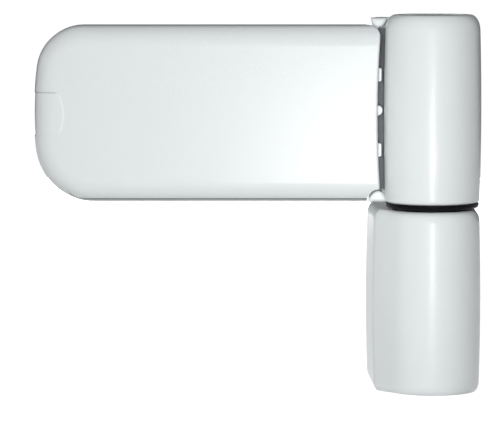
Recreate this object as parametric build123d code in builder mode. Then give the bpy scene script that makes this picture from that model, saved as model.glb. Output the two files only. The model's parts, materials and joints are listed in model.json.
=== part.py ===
from build123d import *
import os
from math import cos, radians, sin, tan

# A flag hinge for a heavy door, in millimetres. X runs along the wall, away from the flag, Y runs
# into the wall and Z runs up. The origin lies on the back of the frame plate, level with the middle
# of the lower knuckle and straight behind the pin.

# Where the two leaves lie
pin_front = 27.0  # pin axis, in front of the frame's face
sash_step = 18.0  # the sash's face, in front of the frame's face
knuckle_gap = 1.7

# Knuckles: slightly barrelled, with rims rounded more along the pin than across it
knuckle_radius = 11.8
knuckle_crown = 0.3
frame_knuckle_height = 45.5
leaf_knuckle_height = 46.8
leaf_top_rim = (2.5, 4.0)  # across and along the pin
leaf_bottom_rim = (1.1, 1.1)
frame_top_rim = (2.0, 3.1)
frame_bottom_rim = (1.5, 2.5)

# The wing that leaves each knuckle at a tangent and turns back beside the door's edge
wing_angle = 52.0  # from the front
wing_run = 7.7
wing_corner = 2.6
wall_draft = 1.7

# Pin, bushes and pad
pin_radius = 5.0
pin_in_frame = 27.25
pin_in_leaf = 31.55
bush_radius = 7.0
frame_bush_length = 14.75
leaf_bush_length = 21.0
frame_flange_radius = 10.0
frame_flange_thickness = 0.4
leaf_flange_radius = 11.6
pad_thickness = 3.0
pad_ceiling = 4.0  # metal of the leaf's knuckle over the pad
vent_radius = 2.0

# Height adjustment from below: a coarse screw lifts the pin
height_screw_radius = 6.0
height_screw_length = 9.0
height_screw_hex = 4.0
height_travel = 4.0

# Caps at both ends of the hinge
cap_radius = 9.0
cap_thickness = 1.2
cap_skirt_length = 3.0
cap_skirt_wall = 1.4

# Grub screws that hold the pin, the leaf and the bracket
pin_lock_radius = 2.0
pin_lock_drop = 3.2  # its axis, under the bush of the lower knuckle
pin_lock_angle = 35.0  # from the wall's direction, towards the wall
pin_flat_depth = 0.5
keeper_radius = 2.5
keeper_height = 27.55  # over the bottom of the leaf's knuckle
keeper_angle = 45.0
keeper_groove_depth = 0.7
bracket_screw_radius = 2.0
bracket_screw_spacing = 20.8
grub_hex = 2.0

# Frame plate, with edges undercut like a dovetail
frame_plate_thickness = 4.0
frame_plate_half_width = 10.5
frame_plate_half_height = 20.5
frame_plate_centre = -2.3
frame_plate_undercut = 1.2
frame_hole_radius = 2.25
frame_hole_sink = 4.2
frame_hole_columns = 10.0
frame_hole_rows = 31.2
core_rib = 1.6
core_depth = 9.4
core_rows = 4

# Sash plate
sash_plate_thickness = 3.0
sash_plate_length = 64.0
sash_plate_half_height = 16.0
sash_plate_corner = 5.0
sash_plate_gap = 3.5  # to the root of the casting's neck, at rest
sash_hole_radius = 2.4
sash_hole_sink = 4.4
sash_hole_columns = 51.0
sash_hole_rows = 24.0
sash_hole_inset = 7.0  # from the plate's end beside the knuckle
access_hole_radius = 4.8

# The flag of the leaf casting
flag_reach = 72.0
flag_thickness = 5.0
flag_half_height = 17.1
flag_corner = 3.0
neck_floor = 22.5  # the bottom of the recess beside the knuckle, in front of the frame's face
neck_root_reach = 18.5
neck_root_half_height = 19.0
flag_near_end = 16.5

# Half round ears in front of the neck, at the bottom and at the top of the cover's end
wing_drop = 0.9  # from the top of the leaf's knuckle to that of its wing
leaf_wing_rim = (1.1, 1.1)
ear_centres = (13.6, 13.4)
ear_half_widths = (2.3, 1.9)
ear_heights = (3.0, 2.4)
ear_front = 26.0
ear_round = 0.8

# Sideways adjustment: a screw in a fork of the casting moves the nut on the sash plate
side_travel = 3.0
side_screw_front = 24.1
side_screw_radius = 2.5
side_neck_radius = 1.7
side_head_radius = 2.85
side_head_length = 3.9
side_head_hex = 2.5
side_screw_reach = 23.0  # its thread, past the fork's inner face
fork_thickness = 4.0
window_length = 24.0
window_half_height = 4.5
nut_setback = 14.0  # its middle, from the fork's inner face
nut_length = 8.0
nut_half_height = 4.0
nut_front = 26.7
nut_spigot_radius = 2.5

# Bent spring clip that closes the fork over the side screw's neck
clip_width = 3.2
clip_thickness = 0.5
clip_half_span = 6.5
clip_leg = 2.4

# Two clamp screws hold the casting to the sash plate
clamp_reach = 53.0
clamp_half_spacing = 11.2
clamp_screw_radius = 2.45
clamp_head_radius = 4.3
clamp_head_height = 2.2
clamp_hex = 3.0
washer_radius = 5.0
washer_thickness = 1.0
clamp_floor = 23.4  # the bottom of the slotted pocket, in front of the frame's face

# The white cover that clips over the flag
cover_height = 44.0
cover_lift = 0.05  # over the bottom of the leaf's knuckle
cover_front = 29.0
cover_far_end = 96.65
cover_near_end = 13.05
cover_far_bulge = 2.6
cover_near_hollow = 0.7
cover_wall = 1.7
cover_shoulder = 5.0
cover_far_corners = (11.75, 15.0)  # top and bottom
cover_near_corner = 2.5
near_corner_flatness = 1.2  # radius of its arc, against that of a quarter circle
cover_near_edge = 0.6
hook_length = 7.0
hook_places = (28.0, 62.0)
hook_bite = 0.4
lug_height = 3.3
lug_reach = 1.0
lug_spacing = 18.75
lug_rise = 0.4  # over the middle of the cover
lug_depth = 3.9
pry_height = 10.75
pry_reach = 4.85
pry_side_depth = 0.15
pry_front_depth = 0.6

# Clearances
turning_clearance = 0.05
seat_clearance = 0.03
flange_clearance = 0.1
cover_clearance = 0.35
back_clearance = 0.2
plate_side_clearance = 0.15
plate_screw_clearance = 0.6
slot_clearance = 0.3
edge_break = 0.4

# Levels along the pin
frame_top = frame_knuckle_height / 2
frame_bottom = -frame_top
leaf_bottom = frame_top + knuckle_gap
leaf_top = leaf_bottom + leaf_knuckle_height
pin_bottom = frame_top - pin_in_frame
pin_top = leaf_bottom + pin_in_leaf
frame_bush_bottom = frame_top - frame_bush_length
keeper_level = leaf_bottom + keeper_height
flag_level = leaf_bottom + cover_lift + cover_height / 2
cover_bottom = flag_level - cover_height / 2
cover_top = flag_level + cover_height / 2
wing_top = leaf_top - wing_drop

# Places seen from above
pin_centre = Vector(0, -pin_front)
pin_line = Axis((0, -pin_front, 0), (0, 0, 1))
flag_back = sash_step + sash_plate_thickness
cover_back = sash_step + back_clearance


def side_dir(angle):
    """Direction that points to the left of the front by an angle in degrees."""
    return Vector(-sin(radians(angle)), -cos(radians(angle)))


def back_dir(angle):
    """Direction along a wall whose outside faces side_dir(angle), towards the back."""
    return Vector(-cos(radians(angle)), sin(radians(angle)))


wall_angle = 90 - wall_draft
corner_centre = (
    pin_centre
    + side_dir(wing_angle) * (knuckle_radius - wing_corner)
    + back_dir(wing_angle) * wing_run
)


def front_plane(depth):
    """Upright plane that faces the viewer, this far in front of the frame's face."""
    return Plane(origin=(0, -depth, 0), x_dir=(1, 0, 0), z_dir=(0, -1, 0))


def upright_plane(place, facing, travel):
    """Upright plane whose first axis is one level direction and whose normal is another."""
    return Plane(
        origin=(place.X, place.Y, 0), x_dir=(facing.X, facing.Y, 0), z_dir=(travel.X, travel.Y, 0)
    )


def knuckle_section(plane, reach, bottom, top, bottom_rim, top_rim):
    """Half section of a knuckle: barrelled outside, with rims that are quarter ellipses."""
    low, high = bottom + bottom_rim[1], top - top_rim[1]
    with BuildSketch(plane) as section:
        with BuildLine():
            Polyline(
                (reach - bottom_rim[0], bottom),
                (0, bottom),
                (0, top),
                (reach - top_rim[0], top),
            )
            EllipticalCenterArc((reach - top_rim[0], high), *top_rim, start_angle=90, arc_size=-90)
            ThreePointArc((reach, high), (reach + knuckle_crown, (low + high) / 2), (reach, low))
            EllipticalCenterArc((reach - bottom_rim[0], low), *bottom_rim, start_angle=0, arc_size=-90)
        make_face()
    return section.sketch


def wing(back, bottom, top, bottom_rim, top_rim):
    """The wing of a knuckle: its section carried along a tangent, round a corner and back."""
    ends = (bottom, top, bottom_rim, top_rim)
    wall_run = (-corner_centre.Y - back) / sin(radians(wall_angle))
    wall_end = corner_centre + back_dir(wall_angle) * wall_run
    with BuildPart() as body:
        tangent = upright_plane(pin_centre, side_dir(wing_angle), back_dir(wing_angle))
        extrude(knuckle_section(tangent, knuckle_radius, *ends), amount=wing_run)
        corner = upright_plane(corner_centre, side_dir(wing_angle), back_dir(wing_angle))
        revolve(
            knuckle_section(corner, wing_corner, *ends),
            axis=Axis((corner_centre.X, corner_centre.Y, 0), (0, 0, -1)),
            revolution_arc=wall_angle - wing_angle,
        )
        wall = upright_plane(corner_centre, side_dir(wall_angle), back_dir(wall_angle))
        extrude(knuckle_section(wall, wing_corner, *ends), amount=wall_run + wing_corner)
        with BuildSketch(Plane.XY.offset(bottom)):
            with BuildLine():
                Polyline(
                    (0, -pin_front),
                    (corner_centre.X, corner_centre.Y),
                    (wall_end.X, -back),
                    (0, -back),
                    close=True,
                )
            make_face()
        extrude(amount=top - bottom)
        split(bisect_by=front_plane(back), keep=Keep.TOP)
    return body.part


def barrel(bottom, top, bottom_rim, top_rim):
    """The round body of a knuckle."""
    with BuildPart() as body:
        section = upright_plane(pin_centre, Vector(1, 0), Vector(0, -1))
        revolve(
            knuckle_section(section, knuckle_radius, bottom, top, bottom_rim, top_rim),
            axis=pin_line,
        )
    return body.part


def stepped_bore(steps):
    """Round cutter about the pin, from (radius, level) pairs that run from the bottom up."""
    with BuildPart() as cutter:
        for (radius, low), (_, high) in zip(steps, steps[1:]):
            with BuildSketch(Plane.XY.offset(low)):
                with Locations((0, -pin_front)):
                    Circle(radius)
            extrude(amount=high - low)
    return cutter.part


def grub_screw(mouth, radius, length, hex_size, tip_radius):
    """Headless screw that runs inwards from a plane at its mouth, with a cone at its tip."""
    tip_length = radius - tip_radius
    with BuildPart() as screw:
        with BuildSketch(mouth):
            Circle(radius)
        extrude(amount=-(length - tip_length))
        with BuildSketch(mouth.offset(tip_length - length)):
            Circle(radius)
        with BuildSketch(mouth.offset(-length)):
            Circle(tip_radius)
        loft()
        with BuildSketch(mouth):
            RegularPolygon(hex_size / 2, 6, major_radius=False)
        extrude(amount=-length / 2 + tip_length / 2, mode=Mode.SUBTRACT)
    return screw.part


def plate_outline(inset):
    """Outline of the cover seen from the front, drawn smaller by an inset."""
    left, right = -cover_far_end + inset, -cover_near_end - inset
    low, high = cover_bottom + inset, cover_top - inset
    corner = cover_near_corner - inset
    with BuildSketch(front_plane(0)) as outline:
        with BuildLine():
            ThreePointArc((left, low), (left - cover_far_bulge, flag_level), (left, high))
            Line((left, high), (right - corner, high))
            RadiusArc((right - corner, high), (right, high - corner), corner * near_corner_flatness)
            ThreePointArc(
                (right, high - corner), (right - cover_near_hollow, flag_level), (right, low + corner)
            )
            RadiusArc((right, low + corner), (right - corner, low), corner * near_corner_flatness)
            Line((right - corner, low), (left, low))
        make_face()
        for level, radius in zip((high, low), cover_far_corners):
            fillet(outline.vertices().sort_by_distance((left, level))[0], radius - inset)
    return outline.sketch


def cover_form(inset, back, near_edge_radius=0):
    """Solid of the cover's outside, drawn smaller by an inset: rounded shoulders on three sides."""
    depth = cover_front - inset - back
    low, high = cover_bottom + inset, cover_top - inset
    left = -cover_far_end + inset
    with BuildPart() as form:
        with BuildSketch(front_plane(back)) as long_outline:
            with BuildLine():
                Polyline((left, high), (0, high), (0, low), (left, low))
                ThreePointArc((left, low), (left - cover_far_bulge, flag_level), (left, high))
            make_face()
            for level, radius in zip((high, low), cover_far_corners):
                fillet(long_outline.vertices().sort_by_distance((left, level))[0], radius - inset)
        extrude(amount=depth)
        rim = form.faces().sort_by(Axis.Y)[0].edges()
        near_edge = rim.sort_by(Axis.X)[-1]
        fillet([edge for edge in rim if edge != near_edge], cover_shoulder - inset)
        with BuildSketch(front_plane(back)):
            with Locations((0, flag_level)):
                Rectangle(cover_far_end, cover_height)
            add(plate_outline(inset).moved(Location((0, -back, 0))), mode=Mode.SUBTRACT)
        extrude(amount=depth, mode=Mode.SUBTRACT)
        if near_edge_radius:
            front = form.faces().filter_by(Axis.Y).sort_by(Axis.Y)[0]
            fillet(front.edges().sort_by(Axis.X)[-1], near_edge_radius)
    return form.part


def ear_outlines(clearance):
    """Outlines of the two ears seen from the front, drawn larger by a clearance."""
    with BuildSketch(front_plane(0)) as outlines:
        for centre, end, half_width, height in zip(
            ear_centres, (leaf_bottom, wing_top), ear_half_widths, ear_heights
        ):
            with Locations((-centre, end)):
                Ellipse(half_width + clearance, height + clearance)
        with Locations((-cover_near_end, (leaf_bottom + wing_top) / 2)):
            Rectangle(2 * knuckle_radius, wing_top - leaf_bottom, mode=Mode.INTERSECT)
    return outlines.sketch


os.makedirs("parts", exist_ok=True)

# Frame plate: screwed to the door frame, with undercut long edges that the bracket grips
with BuildPart() as frame_plate:
    with BuildSketch(Plane.XY.offset(-frame_plate_half_height)):
        with BuildLine():
            Polyline(
                (frame_plate_centre - frame_plate_half_width, -frame_plate_thickness),
                (frame_plate_centre + frame_plate_half_width, -frame_plate_thickness),
                (frame_plate_centre + frame_plate_half_width - frame_plate_undercut, 0),
                (frame_plate_centre - frame_plate_half_width + frame_plate_undercut, 0),
                close=True,
            )
        make_face()
    extrude(amount=2 * frame_plate_half_height)
    fillet(frame_plate.edges().filter_by(Axis.Z), edge_break)
    with Locations(front_plane(frame_plate_thickness)):
        with Locations((frame_plate_centre, 0)):
            with GridLocations(frame_hole_columns, frame_hole_rows, 2, 2):
                CounterSinkHole(frame_hole_radius, frame_hole_sink, counter_sink_angle=90)
frame_plate.part.label = "frame_plate"
export_step(frame_plate.part, "parts/frame_plate.step")

# Frame bracket: one casting with the lower knuckle, cored at the back over the fixing screws
frame_rims = (frame_bottom, frame_top, frame_bottom_rim, frame_top_rim)
pocket_left = frame_plate_centre - frame_plate_half_width - plate_side_clearance
pocket_right = frame_plate_centre + frame_plate_half_width + plate_screw_clearance
pocket_half_height = frame_plate_half_height + plate_side_clearance
pocket_depth = frame_plate_thickness + plate_side_clearance
bush_bore = bush_radius + seat_clearance
height_bore = height_screw_radius + turning_clearance
core_pitch = 2 * pocket_half_height / core_rows
skirt_bore = cap_radius - cap_thickness
lock_level = frame_bush_bottom - pin_lock_drop
lock_face = Plane(
    origin=(
        knuckle_radius,
        knuckle_radius * tan(radians(pin_lock_angle)) - pin_front,
        lock_level,
    ),
    z_dir=(cos(radians(pin_lock_angle)), sin(radians(pin_lock_angle)), 0),
)
lock_face_distance = knuckle_radius / cos(radians(pin_lock_angle))
bracket_screw_front = frame_plate_thickness - bracket_screw_radius / 2
bracket_screw_face = Plane(
    origin=(knuckle_radius, -bracket_screw_front, 0), x_dir=(0, 0, 1), z_dir=(1, 0, 0)
)
plate_edge_at_screw = frame_plate_undercut * (
    1 - (bracket_screw_front + bracket_screw_radius / 2) / frame_plate_thickness
)
bracket_screw_tip = (
    frame_plate_centre + frame_plate_half_width - plate_edge_at_screw + seat_clearance
)
with BuildPart() as frame_bracket:
    add(wing(0, *frame_rims))
    add(barrel(*frame_rims))
    right_wall = upright_plane(pin_centre, Vector(1, 0), Vector(0, -1))
    extrude(knuckle_section(right_wall, knuckle_radius, *frame_rims), amount=-pin_front)
    with BuildSketch(Plane.XY.offset(-pocket_half_height)):
        with BuildLine():
            Polyline(
                (pocket_left, -pocket_depth),
                (pocket_right, -pocket_depth),
                (pocket_right, 0),
                (pocket_left + frame_plate_undercut, 0),
                close=True,
            )
        make_face()
    extrude(amount=2 * pocket_half_height, mode=Mode.SUBTRACT)
    with BuildSketch(front_plane(pocket_depth)):
        with Locations((frame_plate_centre, 0)):
            with GridLocations(frame_hole_columns, core_pitch, 2, core_rows):
                RectangleRounded(frame_hole_columns - core_rib, core_pitch - core_rib, core_rib)
    extrude(amount=core_depth, mode=Mode.SUBTRACT)
    bore_steps = (
        (cap_radius + seat_clearance, frame_bottom),
        (skirt_bore + seat_clearance, frame_bottom + cap_thickness),
        (height_bore, frame_bottom + cap_thickness + cap_skirt_length),
        (bush_bore, frame_bush_bottom),
        (bush_bore, frame_top),
    )
    add(stepped_bore(bore_steps), mode=Mode.SUBTRACT)
    with Locations(lock_face.offset(pin_lock_radius)):
        Hole(pin_lock_radius + seat_clearance, depth=lock_face_distance)
    with Locations(bracket_screw_face.offset(knuckle_crown)):
        with GridLocations(bracket_screw_spacing, 0, 2, 1):
            Hole(bracket_screw_radius + seat_clearance, depth=knuckle_radius - bracket_screw_tip)
frame_bracket.part.label = "frame_bracket"
export_step(frame_bracket.part, "parts/frame_bracket.step")

# Grub screws through the bracket's right wall, which press on the plate's undercut edge
with BuildPart() as bracket_screws:
    for level in (-bracket_screw_spacing / 2, bracket_screw_spacing / 2):
        mouth = Plane(
            origin=(knuckle_radius - edge_break, -bracket_screw_front, level), z_dir=(1, 0, 0)
        )
        length = knuckle_radius - edge_break - bracket_screw_tip
        add(grub_screw(mouth, bracket_screw_radius, length, grub_hex, bracket_screw_radius / 2))
bracket_screws.part.label = "bracket_screws"
export_step(bracket_screws.part, "parts/bracket_screws.step")

# Hinge pin: a flat for the lock screw near its foot and a groove for the keeper near its head
pin_flat_distance = pin_radius - pin_flat_depth
with BuildPart() as hinge_pin:
    with BuildSketch(Plane.XY.offset(pin_bottom)):
        with Locations((0, -pin_front)):
            Circle(pin_radius)
    extrude(amount=pin_top - pin_bottom)
    chamfer(hinge_pin.edges().filter_by(GeomType.CIRCLE), edge_break)
    with BuildSketch(Plane.XY.offset(keeper_level - keeper_radius - slot_clearance)):
        with Locations((0, -pin_front)):
            Circle(pin_radius + edge_break)
            Circle(pin_radius - keeper_groove_depth, mode=Mode.SUBTRACT)
    extrude(amount=2 * (keeper_radius + slot_clearance), mode=Mode.SUBTRACT)
    flat_low = lock_level - pin_lock_radius - height_travel - slot_clearance
    flat_high = lock_level + pin_lock_radius + slot_clearance
    flat_plane = Plane(
        origin=(
            pin_flat_distance * cos(radians(pin_lock_angle)),
            pin_flat_distance * sin(radians(pin_lock_angle)) - pin_front,
            (flat_low + flat_high) / 2,
        ),
        x_dir=(0, 0, 1),
        z_dir=(cos(radians(pin_lock_angle)), sin(radians(pin_lock_angle)), 0),
    )
    with BuildSketch(flat_plane):
        Rectangle(flat_high - flat_low, 2 * pin_radius)
    extrude(amount=pin_radius, mode=Mode.SUBTRACT)
hinge_pin.part.label = "hinge_pin"
export_step(hinge_pin.part, "parts/hinge_pin.step")

# Grub screw that bears on the pin's flat, so that the pin lifts but can't turn
with BuildPart() as pin_lock_screw:
    lock_mouth = lock_face.offset(-edge_break - pin_lock_radius)
    lock_length = lock_face_distance - edge_break - pin_lock_radius - pin_flat_distance
    add(
        grub_screw(
            lock_mouth,
            pin_lock_radius,
            lock_length - turning_clearance,
            grub_hex,
            pin_lock_radius / 2,
        )
    )
pin_lock_screw.part.label = "pin_lock_screw"
export_step(pin_lock_screw.part, "parts/pin_lock_screw.step")

# Bush of the lower knuckle, with a thin flange
with BuildPart() as lower_bush:
    with BuildSketch(Plane.XY.offset(frame_bush_bottom)):
        with Locations((0, -pin_front)):
            Circle(bush_radius)
    extrude(amount=frame_bush_length)
    with BuildSketch(Plane.XY.offset(frame_top)):
        with Locations((0, -pin_front)):
            Circle(frame_flange_radius)
    extrude(amount=frame_flange_thickness)
    with BuildSketch(Plane.XY.offset(frame_bush_bottom)):
        with Locations((0, -pin_front)):
            Circle(pin_radius + turning_clearance)
    extrude(amount=frame_bush_length + frame_flange_thickness, mode=Mode.SUBTRACT)
lower_bush.part.label = "lower_bush"
export_step(lower_bush.part, "parts/lower_bush.step")

# Height screw: a stout grub screw, turned from below, that the pin stands on
with BuildPart() as height_screw:
    with BuildSketch(Plane.XY.offset(pin_bottom - height_screw_length)):
        with Locations((0, -pin_front)):
            Circle(height_screw_radius)
    extrude(amount=height_screw_length)
    chamfer(height_screw.edges().filter_by(GeomType.CIRCLE), edge_break)
    with BuildSketch(Plane.XY.offset(pin_bottom - height_screw_length)):
        with Locations((0, -pin_front)):
            RegularPolygon(height_screw_hex / 2, 6, major_radius=False)
    extrude(amount=height_screw_length / 2, mode=Mode.SUBTRACT)
height_screw.part.label = "height_screw"
export_step(height_screw.part, "parts/height_screw.step")

# Push-in caps with a split skirt, the same at both ends of the hinge
for label, level, inwards in (("bottom_cap", frame_bottom, 1), ("top_cap", leaf_top, -1)):
    with BuildPart() as end_cap:
        face = Plane(origin=(0, -pin_front, level), z_dir=(0, 0, inwards))
        with BuildSketch(face):
            Circle(cap_radius)
        extrude(amount=cap_thickness)
        fillet(end_cap.edges().group_by(Axis.Z)[0 if inwards > 0 else -1], edge_break)
        with BuildSketch(face.offset(cap_thickness)):
            Circle(skirt_bore)
            Circle(skirt_bore - cap_skirt_wall, mode=Mode.SUBTRACT)
            Rectangle(2 * cap_radius, cap_skirt_wall, mode=Mode.SUBTRACT)
        extrude(amount=cap_skirt_length)
    end_cap.part.label = label
    export_step(end_cap.part, f"parts/{label}.step")

# Ears that hold the corners of the cover's end
with BuildPart() as ears:
    with BuildSketch(front_plane(neck_floor)):
        add(ear_outlines(0).moved(Location((0, -neck_floor, 0))))
    extrude(amount=ear_front - neck_floor)
    fillet(ears.faces().filter_by(Axis.Y).group_by(Axis.Y)[0].edges(), ear_round)

# Leaf casting: upper knuckle, the root of its wing, ears, neck and the flag with its slots
leaf_rims = (leaf_bottom, leaf_top, leaf_bottom_rim, leaf_top_rim)
flag_front = flag_back + flag_thickness
fork_inner = flag_reach - fork_thickness
nut_centre = fork_inner - nut_setback
side_screw_end = fork_inner - side_screw_reach
clip_middle = flag_reach - fork_thickness / 2
access_column = neck_root_reach + sash_plate_gap + sash_hole_inset
pad_top = pin_top + pad_thickness
keeper_face = Plane(
    origin=(
        knuckle_radius * cos(radians(keeper_angle)),
        knuckle_radius * sin(radians(keeper_angle)) - pin_front,
        keeper_level,
    ),
    z_dir=(cos(radians(keeper_angle)), sin(radians(keeper_angle)), 0),
)
with BuildPart() as flag_casting:
    add(wing(cover_back, leaf_bottom, wing_top, leaf_bottom_rim, leaf_wing_rim))
    split(bisect_by=front_plane(neck_floor), keep=Keep.BOTTOM)
    add(barrel(*leaf_rims))
    add(ears.part)
    # The root of the neck, behind the cover's end
    with BuildSketch(front_plane(cover_back)):
        with Locations(((pin_radius - neck_root_reach - knuckle_radius) / 2, flag_level)):
            Rectangle(neck_root_reach - knuckle_radius + pin_radius, 2 * neck_root_half_height)
    extrude(amount=neck_floor - cover_back)
    with BuildSketch(front_plane(flag_back)):
        with Locations((-(flag_reach + knuckle_radius) / 2, flag_level)):
            RectangleRounded(flag_reach - knuckle_radius, 2 * flag_half_height, flag_corner)
    extrude(amount=neck_floor - flag_back)
    with BuildSketch(front_plane(neck_floor)):
        with Locations((-(flag_reach + flag_near_end) / 2, flag_level)):
            RectangleRounded(flag_reach - flag_near_end, 2 * flag_half_height, flag_corner)
    extrude(amount=flag_front - neck_floor)
    # Window for the nut, the fork's open slot for the side screw's neck, and two slits for its clip
    with BuildSketch(front_plane(flag_back)):
        with Locations((window_length / 2 - fork_inner, flag_level)):
            RectangleRounded(window_length, 2 * window_half_height, edge_break)
    extrude(amount=flag_thickness, mode=Mode.SUBTRACT)
    with BuildSketch(Plane(origin=(-fork_inner, 0, 0), x_dir=(0, -1, 0), z_dir=(-1, 0, 0))):
        with Locations((side_screw_front, flag_level)):
            Circle(side_neck_radius + turning_clearance)
        with Locations((side_screw_front + flag_thickness / 2, flag_level)):
            Rectangle(flag_thickness, 2 * (side_neck_radius + turning_clearance))
    extrude(amount=fork_thickness, mode=Mode.SUBTRACT)
    with BuildSketch(front_plane(flag_front - clip_leg)):
        with Locations((-clip_middle, flag_level)):
            with GridLocations(0, 2 * clip_half_span - clip_thickness, 1, 2):
                Rectangle(clip_width + 2 * seat_clearance, clip_thickness + 2 * seat_clearance)
    extrude(amount=clip_leg, mode=Mode.SUBTRACT)
    # Slotted pockets for the clamp screws and holes that reach the sash plate's fixing screws
    with BuildSketch(front_plane(clamp_floor)):
        with Locations((-clamp_reach, flag_level)):
            with GridLocations(0, 2 * clamp_half_spacing, 1, 2):
                SlotCenterToCenter(
                    2 * (side_travel + slot_clearance), 2 * (washer_radius + slot_clearance)
                )
    extrude(amount=flag_front - clamp_floor, mode=Mode.SUBTRACT)
    with BuildSketch(front_plane(flag_back)):
        with Locations((-clamp_reach, flag_level)):
            with GridLocations(0, 2 * clamp_half_spacing, 1, 2):
                SlotCenterToCenter(
                    2 * (side_travel + slot_clearance), 2 * (clamp_screw_radius + slot_clearance)
                )
        with Locations((-access_column, flag_level)):
            with GridLocations(0, sash_hole_rows, 1, 2):
                Circle(access_hole_radius)
    extrude(amount=flag_thickness, mode=Mode.SUBTRACT)
    leaf_steps = (
        (bush_bore, leaf_bottom),
        (vent_radius, pad_top),
        (skirt_bore - cap_skirt_wall, pad_top + pad_ceiling),
        (skirt_bore + seat_clearance, leaf_top - cap_thickness - cap_skirt_length),
        (cap_radius + seat_clearance, leaf_top - cap_thickness),
        (cap_radius, leaf_top),
    )
    add(stepped_bore(leaf_steps), mode=Mode.SUBTRACT)
    with Locations(keeper_face.offset(keeper_radius)):
        Hole(keeper_radius + seat_clearance, depth=knuckle_radius)
flag_casting.part.label = "flag_casting"
export_step(flag_casting.part, "parts/flag_casting.step")

# Bush of the upper knuckle, with a stout flange whose rim shows as the dark band
upper_flange_thickness = knuckle_gap - frame_flange_thickness - flange_clearance
with BuildPart() as upper_bush:
    with BuildSketch(Plane.XY.offset(leaf_bottom)):
        with Locations((0, -pin_front)):
            Circle(bush_radius)
    extrude(amount=leaf_bush_length)
    with BuildSketch(Plane.XY.offset(leaf_bottom - upper_flange_thickness)):
        with Locations((0, -pin_front)):
            Circle(leaf_flange_radius)
    extrude(amount=upper_flange_thickness)
    lower_rim = upper_bush.edges().group_by(Axis.Z)[0]
    fillet(lower_rim, upper_flange_thickness - edge_break)
    with BuildSketch(Plane.XY.offset(leaf_bottom - upper_flange_thickness)):
        with Locations((0, -pin_front)):
            Circle(pin_radius + turning_clearance)
    extrude(amount=leaf_bush_length + upper_flange_thickness, mode=Mode.SUBTRACT)
upper_bush.part.label = "upper_bush"
export_step(upper_bush.part, "parts/upper_bush.step")

# Pad between the pin's head and the casting, which carries the door's weight
with BuildPart() as thrust_pad:
    with BuildSketch(Plane.XY.offset(pin_top)):
        with Locations((0, -pin_front)):
            Circle(bush_radius)
    extrude(amount=pad_thickness)
    chamfer(thrust_pad.edges().filter_by(GeomType.CIRCLE), edge_break)
thrust_pad.part.label = "thrust_pad"
export_step(thrust_pad.part, "parts/thrust_pad.step")

# Grub screw whose tip runs in the pin's groove, so that the leaf can't be lifted off
keeper_reach = knuckle_radius - edge_break - (pin_radius - keeper_groove_depth)
with BuildPart() as keeper_screw:
    add(
        grub_screw(
            keeper_face.offset(-edge_break),
            keeper_radius,
            keeper_reach - turning_clearance,
            side_head_hex,
            keeper_radius / 2,
        )
    )
keeper_screw.part.label = "keeper_screw"
export_step(keeper_screw.part, "parts/keeper_screw.step")

# Recess for a tool at the cover's far end, sunk to one depth below the rounded shoulder
with BuildPart() as pry_cut:
    with BuildSketch(front_plane(cover_back)):
        with Locations((-cover_far_end + pry_reach - pry_height, flag_level)):
            Circle(pry_height)
            Rectangle(4 * pry_height, pry_height, mode=Mode.INTERSECT)
    extrude(amount=cover_front)
    pry_floor = cover_form(pry_side_depth, 0)
    add(pry_floor.moved(Location((0, pry_front_depth - pry_side_depth, 0))), mode=Mode.SUBTRACT)

# Cover: a white shell with rounded shoulders, snap hooks inside, lugs at its end and a pry recess
wall_inside = cover_height / 2 - cover_wall
hook_step = flag_back - back_clearance
with BuildPart() as flag_cover:
    add(cover_form(0, cover_back, cover_near_edge))
    add(cover_form(cover_wall, cover_back), mode=Mode.SUBTRACT)
    # Room for the neck, on which the cover's end rests
    with BuildSketch(front_plane(0)):
        with Locations((-flag_near_end + cover_clearance, flag_level)):
            Rectangle(flag_near_end, cover_height, align=(Align.MIN, Align.CENTER))
    extrude(amount=neck_floor + back_clearance, mode=Mode.SUBTRACT)
    with BuildSketch(front_plane(cover_back)):
        add(ear_outlines(cover_clearance).moved(Location((0, -cover_back, 0))))
    extrude(amount=cover_front - cover_back, mode=Mode.SUBTRACT)
    # Hooks on both long walls, whose tips snap behind the edges of the flag
    for side in (-1, 1):
        for reach in hook_places:
            root = flag_level + side * (wall_inside + cover_wall / 2)
            edge = flag_level + side * (flag_half_height + back_clearance)
            tip = flag_level + side * (flag_half_height - hook_bite)
            with BuildSketch(Plane(origin=(-reach, 0, 0), x_dir=(0, -1, 0), z_dir=(-1, 0, 0))):
                with BuildLine():
                    Polyline(
                        (flag_front, root),
                        (flag_front, edge),
                        (hook_step, edge),
                        (hook_step, tip),
                        (hook_step - hook_bite, tip),
                        (cover_back + edge_break, edge),
                        (cover_back + edge_break, root),
                        close=True,
                    )
                make_face()
            extrude(amount=hook_length / 2, both=True)
    # Two square lugs and a round one that key the end between the ears
    with BuildSketch(front_plane(neck_floor + cover_clearance)):
        with Locations((-cover_near_end - cover_near_hollow, flag_level + lug_rise)):
            with GridLocations(0, lug_spacing, 1, 2):
                RectangleRounded(2 * lug_reach, lug_height, edge_break)
            with Locations((0, lug_reach / 2)):
                Circle(lug_height / 2 - edge_break)
    extrude(amount=lug_depth)
    add(pry_cut.part, mode=Mode.SUBTRACT)
flag_cover.part.label = "flag_cover"
export_step(flag_cover.part, "parts/flag_cover.step")

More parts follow.
